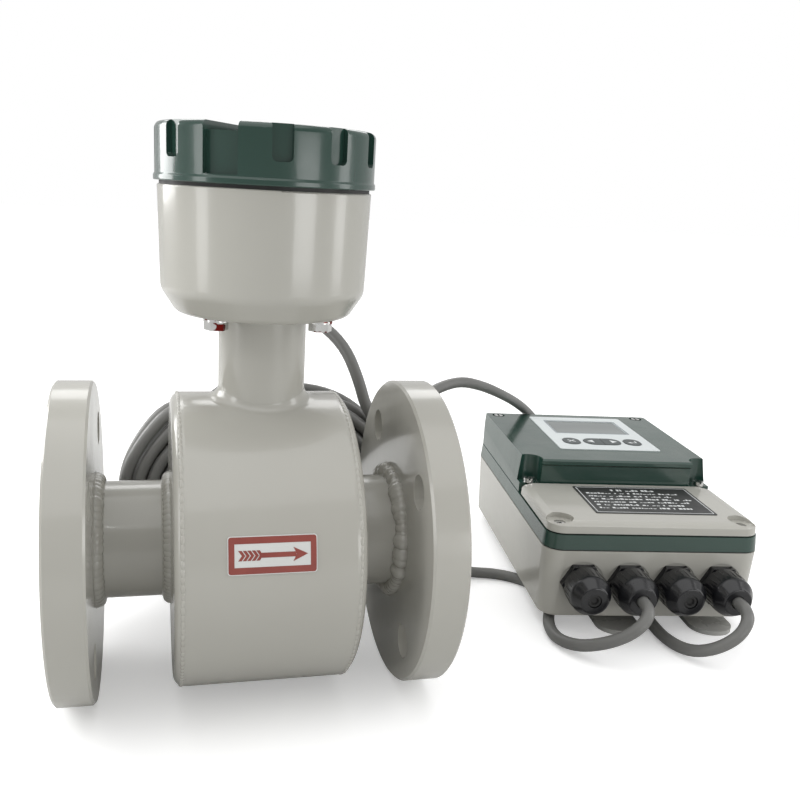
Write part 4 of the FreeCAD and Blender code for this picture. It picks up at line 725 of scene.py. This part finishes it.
def cables():
    rest = FLOOR_LEVEL + CABLE_DIAMETER / 2
    seven_turns = 7 * 360
    near, far = 0.0, 4.1              # depths of the two stacks, so that their turns nest
    head_a = [(-16.5, 59.2, 150), (-25.8, 84.6, 150), (-30, 111, 144), (-23, 134, 131),
              (-1, 146, 118), (27, 140, 108), (51, 121, 100), (69, 102, 86), (77.5, 90.5, 65)]
    floor_a = [(115, 97.5, -18), (120, 96.5, -39), (130, 96.5, -58), (146, 100, -72),
               (167, 103.5, -78.4), (189, 99, rest), (205, 84, rest), (209.5, 63, rest),
               (203, 42, rest), (193, 23, rest), (190, 4, rest), (196, -12.5, -75.5),
               (207, -22.5, -69.5), (218.5, -27.5, -63), (228, -28.5, -55.5), (234.7, -23, -49.8),
               (236.6, -11.6, -49.5), (238.3, -0.3, -49.5)]
    coil_a = coil_points(49.6, -(37.8 + seven_turns), columns=((88.3, near), (96.8, far)), seed=4)
    cable("cable_a", head_a + coil_a + floor_a,
          ("cable_a_head_lead", "cable_a_coil", "cable_a_floor_lead"))
    head_b = [(26.5, 59.2, 150), (35.8, 84.6, 150), (44, 111, 144), (48, 132, 129), (41, 143, 106),
              (23, 140, 84), (8, 133, 65), (-3, 126, 51.5), (-15, 123, 43.5), (-30, 122, 38.5)]
    floor_b = [(117, 110, 8), (119, 113, 31), (131, 117.5, 49), (157, 129.5, 55.5),
               (183, 149, 47.5), (209, 176, 35), (235, 204, 21), (259, 230, 5), (281, 251, -15),
               (296, 262, -39),
               (304, 259, -64), (307, 241, -78), (305, 215, rest), (300, 174, rest),
               (291, 129, rest), (280, 86, rest), (269, 48, rest), (261.5, 18, rest),
               (259, -8, rest), (263.5, -27, -76.5), (273, -37.5, -69.5), (284, -41, -60.5),
               (291.5, -37.5, -52.5), (294.8, -29.5, -49.4), (296, -20.2, -49.5),
               (297.2, -11.9, -49.5)]
    coil_b = coil_points(140.0, 212.0 + seven_turns, columns=((113.8, far), (105.3, near)),
                         seed=9)
    cable("cable_b", head_b + coil_b + floor_b,
          ("cable_b_head_lead", "cable_b_coil", "cable_b_floor_lead"))


# ------------------------------------------------------------ studio

WHITE = (1.0, 1.0, 1.0, 1.0)
FLOOR_REACH = 6.0
SOFTBOXES = (                         # name, place, target, size, power
    ("left_box", (-1.25, -0.35, 0.35), (0.0, 0.0, 0.0), (0.35, 1.2), 4.5),
    ("right_box", (1.4, -0.25, 0.5), (0.1, 0.0, 0.05), (0.4, 1.3), 5.0),
    ("rear_box", (0.15, 1.5, 1.15), (0.1, 0.0, 0.0), (1.8, 0.5), 7.0),
    ("rear_left_box", (-0.75, 0.55, 0.35), (0.0, 0.1, 0.0), (0.5, 0.5), 4.5),
    ("low_front_box", (0.55, -0.75, 0.12), (0.28, 0.0, -0.05), (0.4, 0.25), 1.2))


def camera():
    data = bpy.data.cameras.new("product_camera")
    data.sensor_width = 36.0
    data.lens = 40.471
    data.shift_x = 0.0375
    data.shift_y = 0.03125
    data.clip_start = 0.01
    yaw, pitch, roll = 0.2448, -0.2637, 0.0542
    level = math.cos(pitch)
    ahead = Vector((math.sin(yaw) * level, math.cos(yaw) * level, math.sin(pitch)))
    right = Vector((math.cos(yaw), -math.sin(yaw), 0.0))
    up = right.cross(ahead)
    side = right * math.cos(roll) + up * math.sin(roll)
    top = up * math.cos(roll) - right * math.sin(roll)
    turn = Matrix((side, top, -ahead)).transposed().to_4x4()
    stand = into_scene(bpy.data.objects.new("product_camera", data))
    stand.matrix_world = Matrix.Translation((-0.0493017, -0.4534004, 0.1861023)) @ turn
    bpy.context.scene.camera = stand


def floor_finish():
    """White for the camera, and a grey shop floor for the light that the meter gets from it."""
    material = bpy.data.materials.new("pale_floor")
    material.use_nodes = True
    tree = material.node_tree
    skin = tree.nodes["Principled BSDF"]
    for label, value in (("Base Color", (0.93, 0.93, 0.93, 1.0)), ("Roughness", 0.9),
                         ("Specular IOR Level", 0.1), ("Emission Color", WHITE),
                         ("Emission Strength", 0.3)):
        skin.inputs[label].default_value = value
    shop_floor = add_node(tree, "ShaderNodeBsdfDiffuse", {"Color": (0.68, 0.68, 0.67, 1.0)})
    seen = add_node(tree, "ShaderNodeLightPath").outputs["Is Camera Ray"]
    either = add_node(tree, "ShaderNodeMixShader",
                      {0: seen, 1: shop_floor.outputs[0], 2: skin.outputs[0]})
    tree.links.new(either.outputs[0], tree.nodes["Material Output"].inputs["Surface"])
    return material


def lay_floor():
    mesh = bpy.data.meshes.new("floor")
    level = FLOOR_LEVEL * MM
    mesh.from_pydata([(-FLOOR_REACH, -FLOOR_REACH, level), (FLOOR_REACH, -FLOOR_REACH, level),
                      (FLOOR_REACH, FLOOR_REACH, level), (-FLOOR_REACH, FLOOR_REACH, level)],
                     [], [(0, 1, 2, 3)])
    mesh.materials.append(floor_finish())
    floor = into_scene(bpy.data.objects.new("floor", mesh))


def room_light():
    """Room that is brighter behind the meter than in front of it, with a white backdrop."""
    world = bpy.data.worlds.new("studio")
    world.use_nodes = True
    tree = world.node_tree
    rear, front = 0.64, 0.42
    incoming = add_node(tree, "ShaderNodeNewGeometry").outputs["Incoming"]
    direction = add_node(tree, "ShaderNodeSeparateXYZ", {0: incoming}).outputs["Y"]
    room = tree.nodes["Background"]
    room.inputs["Color"].default_value = WHITE
    tree.links.new(spread_out(tree, direction, 0.1, 0.9, rear, front), room.inputs["Strength"])
    backdrop = add_node(tree, "ShaderNodeBackground", {"Color": WHITE, "Strength": 1.0})
    seen = add_node(tree, "ShaderNodeLightPath").outputs["Is Camera Ray"]
    choice = add_node(tree, "ShaderNodeMixShader",
                      {0: seen, 1: room.outputs[0], 2: backdrop.outputs[0]})
    tree.links.new(choice.outputs[0], tree.nodes["World Output"].inputs["Surface"])
    bpy.context.scene.world = world


def aimed(direction):
    """Rotation of a lamp that shines along a direction."""
    return direction.to_track_quat("-Z", "Y").to_euler()


def overhead_sun():
    data = bpy.data.lights.new("overhead_sky", "SUN")
    data.energy = 1.0
    data.angle = math.radians(75)
    lamp = into_scene(bpy.data.objects.new("overhead_sky", data))
    lamp.rotation_euler = (math.radians(14), math.radians(-10), 0)


def softbox(name, place, target, size, power):
    data = bpy.data.lights.new(name, "AREA")
    data.shape = "RECTANGLE"
    data.size, data.size_y = size
    data.energy = power
    lamp = into_scene(bpy.data.objects.new(name, data))
    lamp.location = place
    lamp.rotation_euler = aimed(Vector(target) - Vector(place))


def gap_spot():
    """Narrow light through the gap between the housing and the outlet flange."""
    data = bpy.data.lights.new("gap_spot", "SPOT")
    data.energy = 20.0
    data.spot_size = math.radians(8)
    data.spot_blend = 1.0
    data.shadow_soft_size = 0.05
    lamp = into_scene(bpy.data.objects.new("gap_spot", data))
    lamp.location = (-0.12, -0.55, 0.6)
    lamp.rotation_euler = aimed(Vector((0.056, 0.65, -0.57)))


def studio():
    bpy.context.scene.view_settings.view_transform = "Standard"
    lay_floor()
    room_light()
    overhead_sun()
    for box in SOFTBOXES:
        softbox(*box)
    gap_spot()


camera()
dress_nodes()
cables()
weld_rings()
arrow_plate_print()
converter_prints()
gland_nut_ribs()
softened("terminal_cap", "screw_cap_shell", 0.7, body="screw_cap")
softened("converter_cover", "converter_cover_shell", 0.6)
softened("terminal_cover", "terminal_cover_shell", 0.5)
studio()
